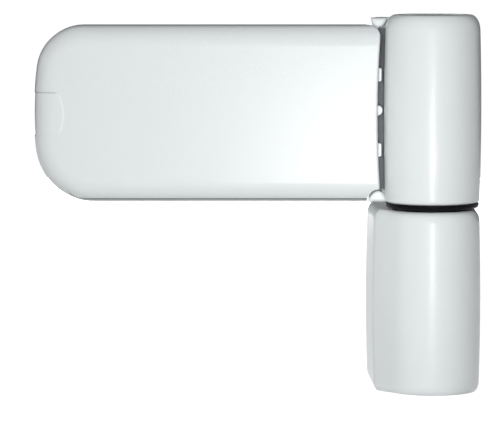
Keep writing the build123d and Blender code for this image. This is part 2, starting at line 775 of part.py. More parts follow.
# Sash plate: screwed to the door, with threads for the clamp screws and a hole for the nut
sash_near_end = neck_root_reach + sash_plate_gap
sash_hole_middle = sash_near_end + sash_hole_inset + sash_hole_columns / 2
with BuildPart() as sash_plate:
    with BuildSketch(front_plane(sash_step)):
        with Locations((-sash_near_end - sash_plate_length / 2, flag_level)):
            RectangleRounded(sash_plate_length, 2 * sash_plate_half_height, sash_plate_corner)
        with Locations((-clamp_reach, flag_level)):
            with GridLocations(0, 2 * clamp_half_spacing, 1, 2):
                Circle(clamp_screw_radius + turning_clearance, mode=Mode.SUBTRACT)
        with Locations((-nut_centre, flag_level)):
            Circle(nut_spigot_radius + seat_clearance, mode=Mode.SUBTRACT)
    extrude(amount=sash_plate_thickness)
    chamfer(sash_plate.faces().sort_by(Axis.Y)[0].outer_wire().edges(), edge_break)
    with Locations(front_plane(flag_back)):
        with Locations((-sash_hole_middle, flag_level)):
            with GridLocations(sash_hole_columns, sash_hole_rows, 2, 2):
                CounterSinkHole(sash_hole_radius, sash_hole_sink, counter_sink_angle=90)
sash_plate.part.label = "sash_plate"
export_step(sash_plate.part, "parts/sash_plate.step")

# Clamp screws and their washers, which slide in the casting's pockets with the sash plate
washer_front = clamp_floor + washer_thickness
clamp_places = [
    (-clamp_reach, flag_level + side * clamp_half_spacing) for side in (-1, 1)
]
with BuildPart() as clamp_washers:
    with BuildSketch(front_plane(clamp_floor)):
        with Locations(clamp_places):
            Circle(washer_radius)
            Circle(clamp_screw_radius + edge_break, mode=Mode.SUBTRACT)
    extrude(amount=washer_thickness)
clamp_washers.part.label = "clamp_washers"
export_step(clamp_washers.part, "parts/clamp_washers.step")

with BuildPart() as clamp_screws:
    with BuildSketch(front_plane(cover_back)):
        with Locations(clamp_places):
            Circle(clamp_screw_radius)
    extrude(amount=washer_front - cover_back)
    with BuildSketch(front_plane(washer_front)):
        with Locations(clamp_places):
            Circle(clamp_head_radius)
    extrude(amount=clamp_head_height)
    fillet(clamp_screws.edges().group_by(Axis.Y)[0], clamp_head_height / 2)
    with BuildSketch(front_plane(washer_front + clamp_head_height)):
        with Locations(clamp_places):
            RegularPolygon(clamp_hex / 2, 6, major_radius=False)
    extrude(amount=-2 * clamp_head_height / 3, mode=Mode.SUBTRACT)
clamp_screws.part.label = "clamp_screws"
export_step(clamp_screws.part, "parts/clamp_screws.step")

# Nut riveted to the sash plate, through which the side screw turns
with BuildPart() as adjuster_nut:
    with BuildSketch(front_plane(flag_back)):
        with Locations((-nut_centre, flag_level)):
            RectangleRounded(nut_length, 2 * nut_half_height, edge_break)
    extrude(amount=nut_front - flag_back)
    chamfer(adjuster_nut.faces().sort_by(Axis.Y)[0].edges(), edge_break)
    with BuildSketch(front_plane(cover_back)):
        with Locations((-nut_centre, flag_level)):
            Circle(nut_spigot_radius)
    extrude(amount=flag_back - cover_back)
    nut_end = Plane(origin=(nut_length - nut_centre, 0, 0), x_dir=(0, 1, 0), z_dir=(1, 0, 0))
    with BuildSketch(nut_end):
        with Locations((-side_screw_front, flag_level)):
            Circle(side_screw_radius + turning_clearance)
    extrude(amount=-2 * nut_length, mode=Mode.SUBTRACT)
adjuster_nut.part.label = "adjuster_nut"
export_step(adjuster_nut.part, "parts/adjuster_nut.step")

# Side screw: a head and a thread with a neck between them that turns in the casting's fork
side_line = Axis((0, -side_screw_front, flag_level), (1, 0, 0))
neck_end = fork_inner - turning_clearance
neck_start = flag_reach + turning_clearance
head_end = neck_start + side_head_length
with BuildPart() as side_screw:
    screw_plane = Plane(
        origin=(0, -side_screw_front, flag_level), x_dir=(1, 0, 0), z_dir=(0, -1, 0)
    )
    with BuildSketch(screw_plane):
        with BuildLine():
            Polyline(
                (-head_end, 0),
                (-head_end, side_head_radius - edge_break),
                (-head_end + edge_break, side_head_radius),
                (-neck_start, side_head_radius),
                (-neck_start, side_neck_radius),
                (-neck_end, side_neck_radius),
                (-neck_end, side_screw_radius),
                (-side_screw_end - edge_break, side_screw_radius),
                (-side_screw_end, side_screw_radius - edge_break),
                (-side_screw_end, 0),
                close=True,
            )
        make_face()
    revolve(axis=side_line)
    head_face = Plane(
        origin=(-head_end, -side_screw_front, flag_level), x_dir=(0, 0, 1), z_dir=(-1, 0, 0)
    )
    with BuildSketch(head_face):
        RegularPolygon(side_head_hex / 2, 6, major_radius=False)
    extrude(amount=-2 * side_head_length / 3, mode=Mode.SUBTRACT)
side_screw.part.label = "side_screw"
export_step(side_screw.part, "parts/side_screw.step")

# Bent spring clip over the fork, with its two legs pressed into the casting
with BuildPart() as screw_clip:
    with BuildSketch(Plane(origin=(-clip_middle, 0, 0), x_dir=(0, -1, 0), z_dir=(-1, 0, 0))):
        with Locations((flag_front, flag_level)):
            Rectangle(clip_thickness, 2 * clip_half_span, align=(Align.MIN, Align.CENTER))
            with GridLocations(0, 2 * clip_half_span - clip_thickness, 1, 2):
                Rectangle(
                    clip_leg - seat_clearance, clip_thickness, align=(Align.MAX, Align.CENTER)
                )
    extrude(amount=clip_width / 2, both=True)
    outer_bends = screw_clip.edges().filter_by(Axis.X).group_by(Axis.Y)[0]
    fillet(outer_bends, clip_thickness / 2)
screw_clip.part.label = "screw_clip"
export_step(screw_clip.part, "parts/screw_clip.step")
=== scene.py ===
"""A flag hinge for a door, dressed and lit like its photograph.

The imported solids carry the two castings, the cover, the bushes, the pin and the plates. What a
hand would turn, thread or bend is modelled here on top of them: the caps, every screw, the
washers, the nut and the spring clip. Sizes are in millimetres and become metres on the bench.
"""

from __future__ import annotations

import json
import logging
import math
from dataclasses import dataclass, field
from enum import Enum
from typing import Callable, Mapping, Sequence, Union

import bmesh
import bpy
from mathutils import Matrix, Quaternion, Vector

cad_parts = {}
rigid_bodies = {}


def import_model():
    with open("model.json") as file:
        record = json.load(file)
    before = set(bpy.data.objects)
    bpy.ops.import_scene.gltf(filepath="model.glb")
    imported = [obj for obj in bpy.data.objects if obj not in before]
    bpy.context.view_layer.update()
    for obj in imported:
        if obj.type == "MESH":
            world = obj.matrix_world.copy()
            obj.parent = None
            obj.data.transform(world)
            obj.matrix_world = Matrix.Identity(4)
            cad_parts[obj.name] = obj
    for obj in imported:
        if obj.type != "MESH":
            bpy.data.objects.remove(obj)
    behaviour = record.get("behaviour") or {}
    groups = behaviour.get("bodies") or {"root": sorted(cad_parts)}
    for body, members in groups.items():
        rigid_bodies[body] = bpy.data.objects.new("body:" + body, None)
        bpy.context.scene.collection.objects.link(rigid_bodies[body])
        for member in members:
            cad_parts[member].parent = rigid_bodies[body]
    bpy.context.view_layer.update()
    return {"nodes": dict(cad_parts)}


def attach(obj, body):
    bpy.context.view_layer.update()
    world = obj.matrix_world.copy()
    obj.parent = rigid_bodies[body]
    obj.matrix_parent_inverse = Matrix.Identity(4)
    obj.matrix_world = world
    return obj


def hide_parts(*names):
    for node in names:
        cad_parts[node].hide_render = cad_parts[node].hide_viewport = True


log = logging.getLogger("flag_hinge")

MM = 0.001
PER_METRE = 1 / MM

Colour = tuple[float, float, float]
Test = Callable[[Vector, Vector], bool]

# Places in the hinge's frame: the pin's axis in front of the wall, and the middle of the flag
PIN_FRONT = 27.0
FLAG_LEVEL = 46.5

# How near a centre lies to a level, in metres, and how straight a normal or an edge has to be
LEVEL_SLACK = 2e-5
ALONG = 0.99
ACROSS = 0.01

# How many flats make a bar round
WIDE_ROUND, ROUND, SMALL_ROUND = 96, 72, 64

# How far a cutter starts outside the face that it goes into
OVERCUT = 0.5


class Facing(Enum):
    """The ways that a turned piece can point in the hinge's frame."""

    VIEWER = (0.0, -1.0, 0.0)
    NEAR = (1.0, 0.0, 0.0)
    UP = (0.0, 0.0, 1.0)
    DOWN = (0.0, 0.0, -1.0)


class Pick(Enum):
    """What the edit tools take hold of."""

    FACES = "FACE"
    EDGES = "EDGE"


class Cut(Enum):
    """How one piece of stock acts on another."""

    AWAY = "DIFFERENCE"
    COMMON = "INTERSECT"
    WELD = "UNION"


# ---------------------------------------------------------------------------
# Shader arithmetic
# ---------------------------------------------------------------------------


class Wire:
    """A value in a material's nodes that plain arithmetic can be written on."""

    def __init__(self, recipe: "Recipe", socket: bpy.types.NodeSocket) -> None:
        """Keeps the socket and the recipe that new Math nodes go to."""
        self.recipe = recipe
        self.socket = socket

    def _math(self, operation: str, first: "Value", second: "Value") -> "Wire":
        """Adds one Math node.

        Args:
            operation: The Math node's operation.
            first: Its first value.
            second: Its second value.

        Returns:
            The result's wire.
        """
        return self.recipe.node("ShaderNodeMath", {"operation": operation}, {0: first, 1: second})

    def __add__(self, other: "Value") -> "Wire":
        """Sum."""
        return self._math("ADD", self, other)

    def __radd__(self, other: "Value") -> "Wire":
        """Sum, written the other way round."""
        return self._math("ADD", other, self)

    def __sub__(self, other: "Value") -> "Wire":
        """Difference."""
        return self._math("SUBTRACT", self, other)

    def __rsub__(self, other: "Value") -> "Wire":
        """Difference, written the other way round."""
        return self._math("SUBTRACT", other, self)

    def __mul__(self, other: "Value") -> "Wire":
        """Product."""
        return self._math("MULTIPLY", self, other)

    def __rmul__(self, other: "Value") -> "Wire":
        """Product, written the other way round."""
        return self._math("MULTIPLY", other, self)


Value = Union[Wire, float, Sequence[float]]


class Recipe:
    """A material whose nodes are added one at a time."""

    def __init__(self, name: str) -> None:
        """Starts a material with its Principled shader.

        Args:
            name: The material's name.
        """
        self.material = bpy.data.materials.new(name)
        self.material.use_nodes = True
        self.tree = self.material.node_tree
        self.shader = self.tree.nodes["Principled BSDF"]

    def node(
        self,
        kind: str,
        settings: Mapping[str, object] | None = None,
        sockets: Mapping[int | str, Value] | None = None,
        out: int | str = 0,
    ) -> Wire:
        """Adds a node, sets it up and fills its sockets.

        Args:
            kind: The node's type.
            settings: Its own settings, such as an operation, or stops for a ramp.
            sockets: The values or wires of its inputs.
            out: The output to hand back.

        Returns:
            The chosen output's wire.
        """
        node = self.tree.nodes.new(kind)
        for key, value in (settings or {}).items():
            if key == "stops":
                for stop, (place, shade) in zip(self._ramp(node, len(value)), value):
                    stop.position, stop.color = place, shade
            else:
                setattr(node, key, value)
        for key, value in (sockets or {}).items():
            self.join(value, node.inputs[key])
        return Wire(self, node.outputs[out])

    @staticmethod
    def _ramp(node: bpy.types.Node, count: int) -> list[bpy.types.ColorRampElement]:
        """Gives a ramp as many stops as asked for.

        Args:
            node: The Color Ramp node.
            count: How many stops it needs.

        Returns:
            The stops in order.
        """
        stops = node.color_ramp.elements
        while len(stops) < count:
            stops.new(0.5)
        return list(stops)

    def join(self, value: Value, socket: bpy.types.NodeSocket) -> None:
        """Fills one socket.

        Args:
            value: A wire that is linked to it, or a number or colour that it is set to.
            socket: The socket.
        """
        if isinstance(value, Wire):
            self.tree.links.new(value.socket, socket)
        else:
            socket.default_value = value

    def feed(self, **values: Value) -> None:
        """Fills the Principled shader's sockets.

        Args:
            values: The sockets' names, with an underscore for a space, and what goes to them.
        """
        for name, value in values.items():
            self.join(value, self.shader.inputs[name.replace("_", " ")])

    def place(
        self, centre: Sequence[float] = (0, 0, 0), stretch: Sequence[float] = (1, 1, 1)
    ) -> Wire:
        """Object coordinates about a centre.

        Args:
            centre: The centre in millimetres.
            stretch: What each axis is multiplied by.

        Returns:
            The coordinates in metres.
        """
        spot = self.node("ShaderNodeTexCoord", out="Object")
        moved = self.node(
            "ShaderNodeVectorMath",
            {"operation": "SUBTRACT"},
            {0: spot, 1: [value * MM for value in centre]},
        )
        return self.node("ShaderNodeVectorMath", {"operation": "MULTIPLY"}, {0: moved, 1: stretch})

    def reach(self, centre: Sequence[float], plane: Sequence[float]) -> Wire:
        """How far a point lies from an axis.

        Args:
            centre: A point on the axis, in millimetres.
            plane: 0 for the direction along the axis and 1 for the other two.

        Returns:
            The distance in metres.
        """
        flat = self.place(centre, plane)
        return self.node("ShaderNodeVectorMath", {"operation": "LENGTH"}, {0: flat}, "Value")

    def axes(self) -> list[Wire]:
        """Object coordinates in millimetres: across, deep and level, a wire for each."""
        spot = self.node("ShaderNodeTexCoord", out="Object")
        return [
            self.node("ShaderNodeSeparateXYZ", None, {0: spot}, name) * PER_METRE for name in "XYZ"
        ]

    def cloud(self, grain: float, place: Wire, detail: float = 2.0) -> Wire:
        """Soft noise.

        Args:
            grain: The size of its lumps in millimetres.
            place: The coordinates it follows.
            detail: How many finer layers it has.

        Returns:
            Its value, about 0.5 on average.
        """
        sockets = {"Vector": place, "Scale": 1 / (grain * MM), "Detail": detail}
        return self.node("ShaderNodeTexNoise", None, sockets, 0)

    def blend(self, share: Value, first: Value, second: Value) -> Wire:
        """Mixes two colours.

        Args:
            share: How much of the second colour there is.
            first: The colour at 0.
            second: The colour at 1.

        Returns:
            The mixed colour.
        """
        return self.node(
            "ShaderNodeMix", {"data_type": "RGBA"}, {0: share, 6: first, 7: second}, 2
        )

    def bump(self, height: Wire, depth: float, under: Wire | None = None) -> Wire:
        """Turns a height into a normal.

        Args:
            height: The height from 0 to 1.
            depth: What 1 stands for, in millimetres.
            under: A normal that this one lies on.

        Returns:
            The normal.
        """
        sockets: dict[int | str, Value] = {
            "Height": height,
            "Distance": depth * MM,
            "Strength": 1.0,
        }
        if under is not None:
            sockets["Normal"] = under
        return self.node("ShaderNodeBump", None, sockets)

    def span(self, value: Wire, low: float, high: float, first: float, second: float) -> Wire:
        """Maps one range of a value smoothly to another, held at its ends.

        Args:
            value: The value.
            low: Where its range starts.
            high: Where its range ends.
            first: The result at the start and before it.
            second: The result at the end and beyond it.

        Returns:
            The mapped value.
        """
        return self.node(
            "ShaderNodeMapRange",
            {"clamp": True, "interpolation_type": "SMOOTHSTEP"},
            {0: value, 1: low, 2: high, 3: first, 4: second},
        )

    def unsigned(self, value: Wire) -> Wire:
        """A value without its sign."""
        return self.node("ShaderNodeMath", {"operation": "ABSOLUTE"}, {0: value})

    def near(self, value: Wire, goal: float, line: tuple[float, float]) -> Wire:
        """How near a value is to a goal.

        Args:
            value: The value.
            goal: What it is compared with.
            line: The distance up to which the result is 1, and the one from which it is 0.

        Returns:
            A number from 0 to 1.
        """
        return self.span(self.unsigned(value - goal), *line, 1.0, 0.0)


def solid(colour: Colour) -> tuple[float, float, float, float]:
    """A colour with full alpha."""
    return (*colour, 1.0)


# ---------------------------------------------------------------------------
# Finishes
# ---------------------------------------------------------------------------


@dataclass(frozen=True)
class PowderCoat:
    """Gloss powder coat on the castings, with shade painted in as a dark, rougher colour down in
    the open strip.
    """

    slot: str = "coated_casting"
    colour: Colour = (0.84, 0.87, 0.87)
    shaded: Colour = (0.79, 0.825, 0.83)
    # Painted shade: the dark colour for the bottom of the open strip
    strip_shade_colour: Colour = (0.113, 0.125, 0.143)
    # The open strip between the cover's end and the knuckle, where the shade is painted
    strip: tuple[float, float] = (-13.6, -11.2)
    strip_depth: tuple[float, float] = (-26.2, -24.2)
    strip_levels: tuple[float, float] = (26.9, 68.3)
    strip_edge: float = 0.2
    strip_end: float = 0.8
    peel: float = 1.1
    peel_depth: float = 0.004
    roughness: float = 0.32

    def mix(self) -> bpy.types.Material:
        """Lays out the coat's nodes.

        Returns:
            The material.
        """
        recipe = Recipe(self.slot)
        place = recipe.place()
        drift = recipe.cloud(16.0, place)
        film = recipe.cloud(self.peel, place, 1.0)
        speck = recipe.cloud(0.16, place, 0.0)
        painted_strip_shade = self._mask_painted_strip(recipe)
        coat = recipe.blend(drift * 0.7 + speck * 0.2, solid(self.colour), solid(self.shaded))
        recipe.feed(
            # The strip's dark colour is painted shade
            Base_Color=recipe.blend(painted_strip_shade, coat, solid(self.strip_shade_colour)),
            Roughness=self.roughness + (drift - 0.5) * 0.08 + (speck - 0.5) * 0.05 + painted_strip_shade * 0.2,
            Normal=recipe.bump(film, self.peel_depth, recipe.bump(speck, 0.0006)),
            IOR=1.5,
            Coat_Weight=0.12,
            Coat_Roughness=0.12,
        )
        return recipe.material

    def _mask_painted_strip(self, recipe: Recipe) -> Wire:
        """Masks the bottom of the open strip, where shade is painted in.

        Args:
            recipe: The material that the mask goes to.

        Returns:
            1 at the bottom of the strip between the ears and 0 elsewhere.
        """
        across, deep, level = recipe.axes()
        edge = recipe.cloud(0.6, recipe.place(), 2.0) * 0.5 - 0.25
        (far, near), (low, high) = self.strip, self.strip_levels
        painted_strip_shade = recipe.span(deep + edge, *self.strip_depth, 0.0, 1.0)
        for inwards, soft in (
            (across - far, self.strip_edge),
            (near - across, self.strip_edge),
            (level - low + edge, self.strip_end),
            (high - level + edge, self.strip_end),
        ):
            painted_strip_shade = painted_strip_shade * recipe.span(inwards, 0.0, soft, 0.0, 1.0)
        return painted_strip_shade


@dataclass(frozen=True)
class MouldedPlastic:
    """Gloss white plastic, with a painted highlight on the pry recess's round edge and painted
    shade in its upper crease and along the mould's seam.
    """

    slot: str = "cover_plastic"
    colour: Colour = (0.86, 0.89, 0.89)
    shaded: Colour = (0.82, 0.855, 0.86)
    # Painted highlight colour for the pry recess's round edge
    rubbed: Colour = (0.99, 0.995, 0.995)
    # Painted shade colour for the recess's upper crease and the seam's shadow line
    dusty: Colour = (0.26, 0.28, 0.29)
    # The pry recess: a disc at the far end, with a painted highlight on its round edge and painted
    # shade along its upper edge
    recess_centre: float = -102.55
    recess_radius: float = 10.75
    recess_half_height: float = 5.375
    recess_corner: float = 1.5
    recess_side: tuple[float, float] = (8.5, 9.5)
    # Both edges and the seam fade out towards the back, between these depths
    front: tuple[float, float] = (-23.0, -22.0)
    arc_line: tuple[float, float] = (0.05, 0.38)
    # Strength of the painted highlight on the round edge
    arc_highlight: float = 0.75
    crease_line: tuple[float, float] = (0.05, 0.3)
    # Strength of the painted shade in the upper crease
    crease_shade: float = 0.42
    # The mould's seam along the bottom, a painted shadow line, which bends up round the far corner
    seam_level: float = 25.3
    seam_line: tuple[float, float] = (0.2, 0.36)
    seam_far: tuple[float, float] = (-91.5, -89.0)
    seam_near: tuple[float, float] = (-16.4, -16.0)
    bend: tuple[float, float] = (-92.0, -87.0)
    bend_rise: float = 0.113
    roughness: float = 0.26

    def mix(self) -> bpy.types.Material:
        """Lays out the plastic's nodes.

        Returns:
            The material.
        """
        recipe = Recipe(self.slot)
        place = recipe.place()
        flow = recipe.cloud(30.0, recipe.place(stretch=(0.35, 1.0, 1.0)))
        skin = recipe.cloud(0.35, place, 1.0)
        sink = recipe.cloud(9.0, place, 0.0)
        arc, shade_lines = self._edges(recipe)
        skin_colour = recipe.blend(flow, solid(self.colour), solid(self.shaded))
        # Painted highlight along the pry recess's round edge
        lightened = recipe.blend(arc, skin_colour, solid(self.rubbed))
        recipe.feed(
            # Painted shade in the upper crease and along the seam
            Base_Color=recipe.blend(shade_lines, lightened, solid(self.dusty)),
            Roughness=self.roughness + (flow - 0.5) * 0.06 + (skin - 0.5) * 0.06,
            Normal=recipe.bump(skin, 0.0005, recipe.bump(sink, 0.003)),
            IOR=1.49,
        )
        return recipe.material

    def _edges(self, recipe: Recipe) -> tuple[Wire, Wire]:
        """Finds where highlight and shade are painted: the edges of the pry recess and the mould's
        seam along the bottom.

        Args:
            recipe: The material that the masks go to.

        Returns:
            How much painted highlight the recess's round edge gets, and how much painted shade lies
            in the upper crease and along the seam.
        """
        across, deep, level = recipe.axes()
        front = recipe.span(deep, *self.front, 1.0, 0.0)
        height = level - FLAG_LEVEL
        half = self.recess_half_height
        reach = recipe.reach((self.recess_centre, 0, FLAG_LEVEL), (1, 0, 1)) * PER_METRE
        arc = recipe.near(reach, self.recess_radius, self.arc_line) * front
        arc = arc * recipe.span(recipe.unsigned(height), half - self.recess_corner, half, 1.0, 0.0)
        side = recipe.span(across - self.recess_centre, *self.recess_side, 1.0, 0.0)
        crease = recipe.near(height, half, self.crease_line) * side * front
        far, near = self.bend
        past = recipe.span(across, far, near, near - far, 0.0)
        seam = recipe.near(level - past * past * self.bend_rise, self.seam_level, self.seam_line)
        seam = seam * recipe.span(across, *self.seam_far, 0.0, 1.0) * front
        seam = seam * recipe.span(across, *self.seam_near, 1.0, 0.0)
        # The painted highlight, then the painted shade of the crease and the seam
        return arc * self.arc_highlight, crease * self.crease_shade + seam


@dataclass(frozen=True)
class BearingPlastic:
    """Black bearing plastic, turned in fine rings round the pin, with a dusty wear line."""

    slot: str = "bush_plastic"
    colour: Colour = (0.0028, 0.0033, 0.0036)
    lightened: Colour = (0.011, 0.0118, 0.013)
    ring: float = 0.22

    def mix(self) -> bpy.types.Material:
        """Lays out the bush's nodes.

        Returns:
            The material.
        """
        recipe = Recipe(self.slot)
        turns = recipe.reach((0, -PIN_FRONT, 0), (1, 1, 0)) * (math.tau / (self.ring * MM))
        rings = recipe.node("ShaderNodeMath", {"operation": "SINE"}, {0: turns})
        grain = recipe.cloud(0.5, recipe.place(), 3.0)
        recipe.feed(
            Base_Color=recipe.blend(
                recipe.span(grain, 0.5, 0.8, 0.0, 1.0), solid(self.colour), solid(self.lightened)
            ),
            Roughness=0.26 + grain * 0.22,
            Normal=recipe.bump(rings * 0.5 + 0.5, 0.002, recipe.bump(grain, 0.002)),
            IOR=1.52,
            Specular_IOR_Level=0.045,
        )
        return recipe.material


@dataclass(frozen=True)
class GroundSteel:
    """Bright steel with fine grinding lines that run round the pin."""

    slot: str = "pin_steel"
    colour: Colour = (0.6, 0.6, 0.61)
    dull: Colour = (0.46, 0.46, 0.47)

    def mix(self) -> bpy.types.Material:
        """Lays out the steel's nodes.

        Returns:
            The material.
        """
        recipe = Recipe(self.slot)
        lines = recipe.cloud(2.5, recipe.place(stretch=(1, 1, 40)), 4.0)
        oil = recipe.cloud(4.0, recipe.place(), 2.0)
        recipe.feed(
            Base_Color=recipe.blend(lines * 0.6 + oil * 0.3, solid(self.colour), solid(self.dull)),
            Metallic=1.0,
            Roughness=0.16 + lines * 0.16 + oil * 0.06,
            Normal=recipe.bump(lines, 0.002),
        )
        return recipe.material


@dataclass(frozen=True)
class ZincPlate:
    """Zinc plated steel: rolled lines, a cloudy crystal bloom and small scuffs."""

    slot: str = "plated_steel"
    colour: Colour = (0.62, 0.63, 0.65)
    bloom: Colour = (0.5, 0.52, 0.56)
    straw: Colour = (0.6, 0.58, 0.5)
    crystal: float = 1.4

    def mix(self) -> bpy.types.Material:
        """Lays out the plating's nodes.

        Returns:
            The material.
        """
        recipe = Recipe(self.slot)
        place = recipe.place()
        rolled = recipe.cloud(3.0, recipe.place(stretch=(0.12, 1, 6)), 3.0)
        cloudy = recipe.cloud(7.0, place, 3.0)
        grains = {"Vector": place, "Scale": 1 / (self.crystal * MM)}
        crystal = recipe.node("ShaderNodeTexVoronoi", {"feature": "F1"}, grains, "Distance")
        stain = recipe.span(cloudy, 0.5, 0.75, 0.0, 0.55)
        tint = recipe.blend(stain, solid(self.colour), solid(self.straw))
        recipe.feed(
            Base_Color=recipe.blend(crystal * 0.55 + rolled * 0.25, tint, solid(self.bloom)),
            Metallic=1.0,
            Roughness=0.3 + crystal * 0.12 + rolled * 0.1,
            Normal=recipe.bump(rolled, 0.003, recipe.bump(crystal, 0.002)),
        )
        return recipe.material


@dataclass(frozen=True)
class BlackenedSteel:
    """Oxide blackened screw steel, rubbed brighter where the tools and threads have touched."""

    slot: str = "screw_steel"
    colour: Colour = (0.16, 0.16, 0.17)
    rubbed: Colour = (0.42, 0.41, 0.4)

    def mix(self) -> bpy.types.Material:
        """Lays out the oxide's nodes.

        Returns:
            The material.
        """
        recipe = Recipe(self.slot)
        place = recipe.place()
        scale = recipe.cloud(0.9, place, 4.0)
        rubs = recipe.cloud(2.6, place, 2.0)
        wear = recipe.span(rubs * 0.7 + scale * 0.3, 0.52, 0.68, 0.0, 0.8)
        recipe.feed(
            Base_Color=recipe.blend(wear, solid(self.colour), solid(self.rubbed)),
            Metallic=1.0,
            Roughness=0.42 + scale * 0.12 - wear * 0.16,
            Normal=recipe.bump(scale, 0.003),
        )
        return recipe.material


@dataclass(frozen=True)
class MachinedBrass:
    """Brass with tool lines, tarnished a little in clouds."""

    slot: str = "nut_brass"
    colour: Colour = (0.78, 0.62, 0.32)
    tarnish: Colour = (0.5, 0.36, 0.17)

    def mix(self) -> bpy.types.Material:
        """Lays out the brass's nodes.

        Returns:
            The material.
        """
        recipe = Recipe(self.slot)
        tool = recipe.cloud(1.5, recipe.place(stretch=(12, 1, 1)), 3.0)
        air = recipe.cloud(3.0, recipe.place(), 3.0)
        dulled = recipe.span(air, 0.4, 0.75, 0.0, 0.6)
        recipe.feed(
            Base_Color=recipe.blend(dulled, solid(self.colour), solid(self.tarnish)),
            Metallic=1.0,
            Roughness=0.24 + tool * 0.14 + air * 0.08,
            Normal=recipe.bump(tool, 0.003),
        )
        return recipe.material


Finish = Union[
    PowderCoat,
    MouldedPlastic,
    BearingPlastic,
    GroundSteel,
    ZincPlate,
    BlackenedSteel,
    MachinedBrass,
]


class PaintShop:
    """Mixes each finish once and puts it on nodes and pieces by the record's slot."""

    def __init__(self, finishes: Sequence[Finish]) -> None:
        """Mixes the finishes.

        Args:
            finishes: One finish for each slot.
        """
        self.coats = {finish.slot: finish.mix() for finish in finishes}

    def dress_node(self, node: bpy.types.Object) -> None:
        """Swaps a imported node's plain material for the finish of its slot."""
        for holder in node.material_slots:
            holder.material = self.coats[holder.material.name.split(".")[0]]

    def dress(self, piece: bpy.types.Object, slot: str) -> None:
        """Gives a modelled piece one finish.

        Args:
            piece: The piece.
            slot: The record's slot of the finish.
        """
        piece.data.materials.clear()
        piece.data.materials.append(self.coats[slot])


# ---------------------------------------------------------------------------
# The bench
# ---------------------------------------------------------------------------


def off_axis(centre: Vector) -> float:
    """How far a centre lies from the piece's axis, in metres."""
    return math.hypot(centre.x, centre.y)


def on_level(centre: Vector, level: float) -> bool:
    """Says whether a centre lies at a level in millimetres."""
    return abs(centre.z - level * MM) < LEVEL_SLACK


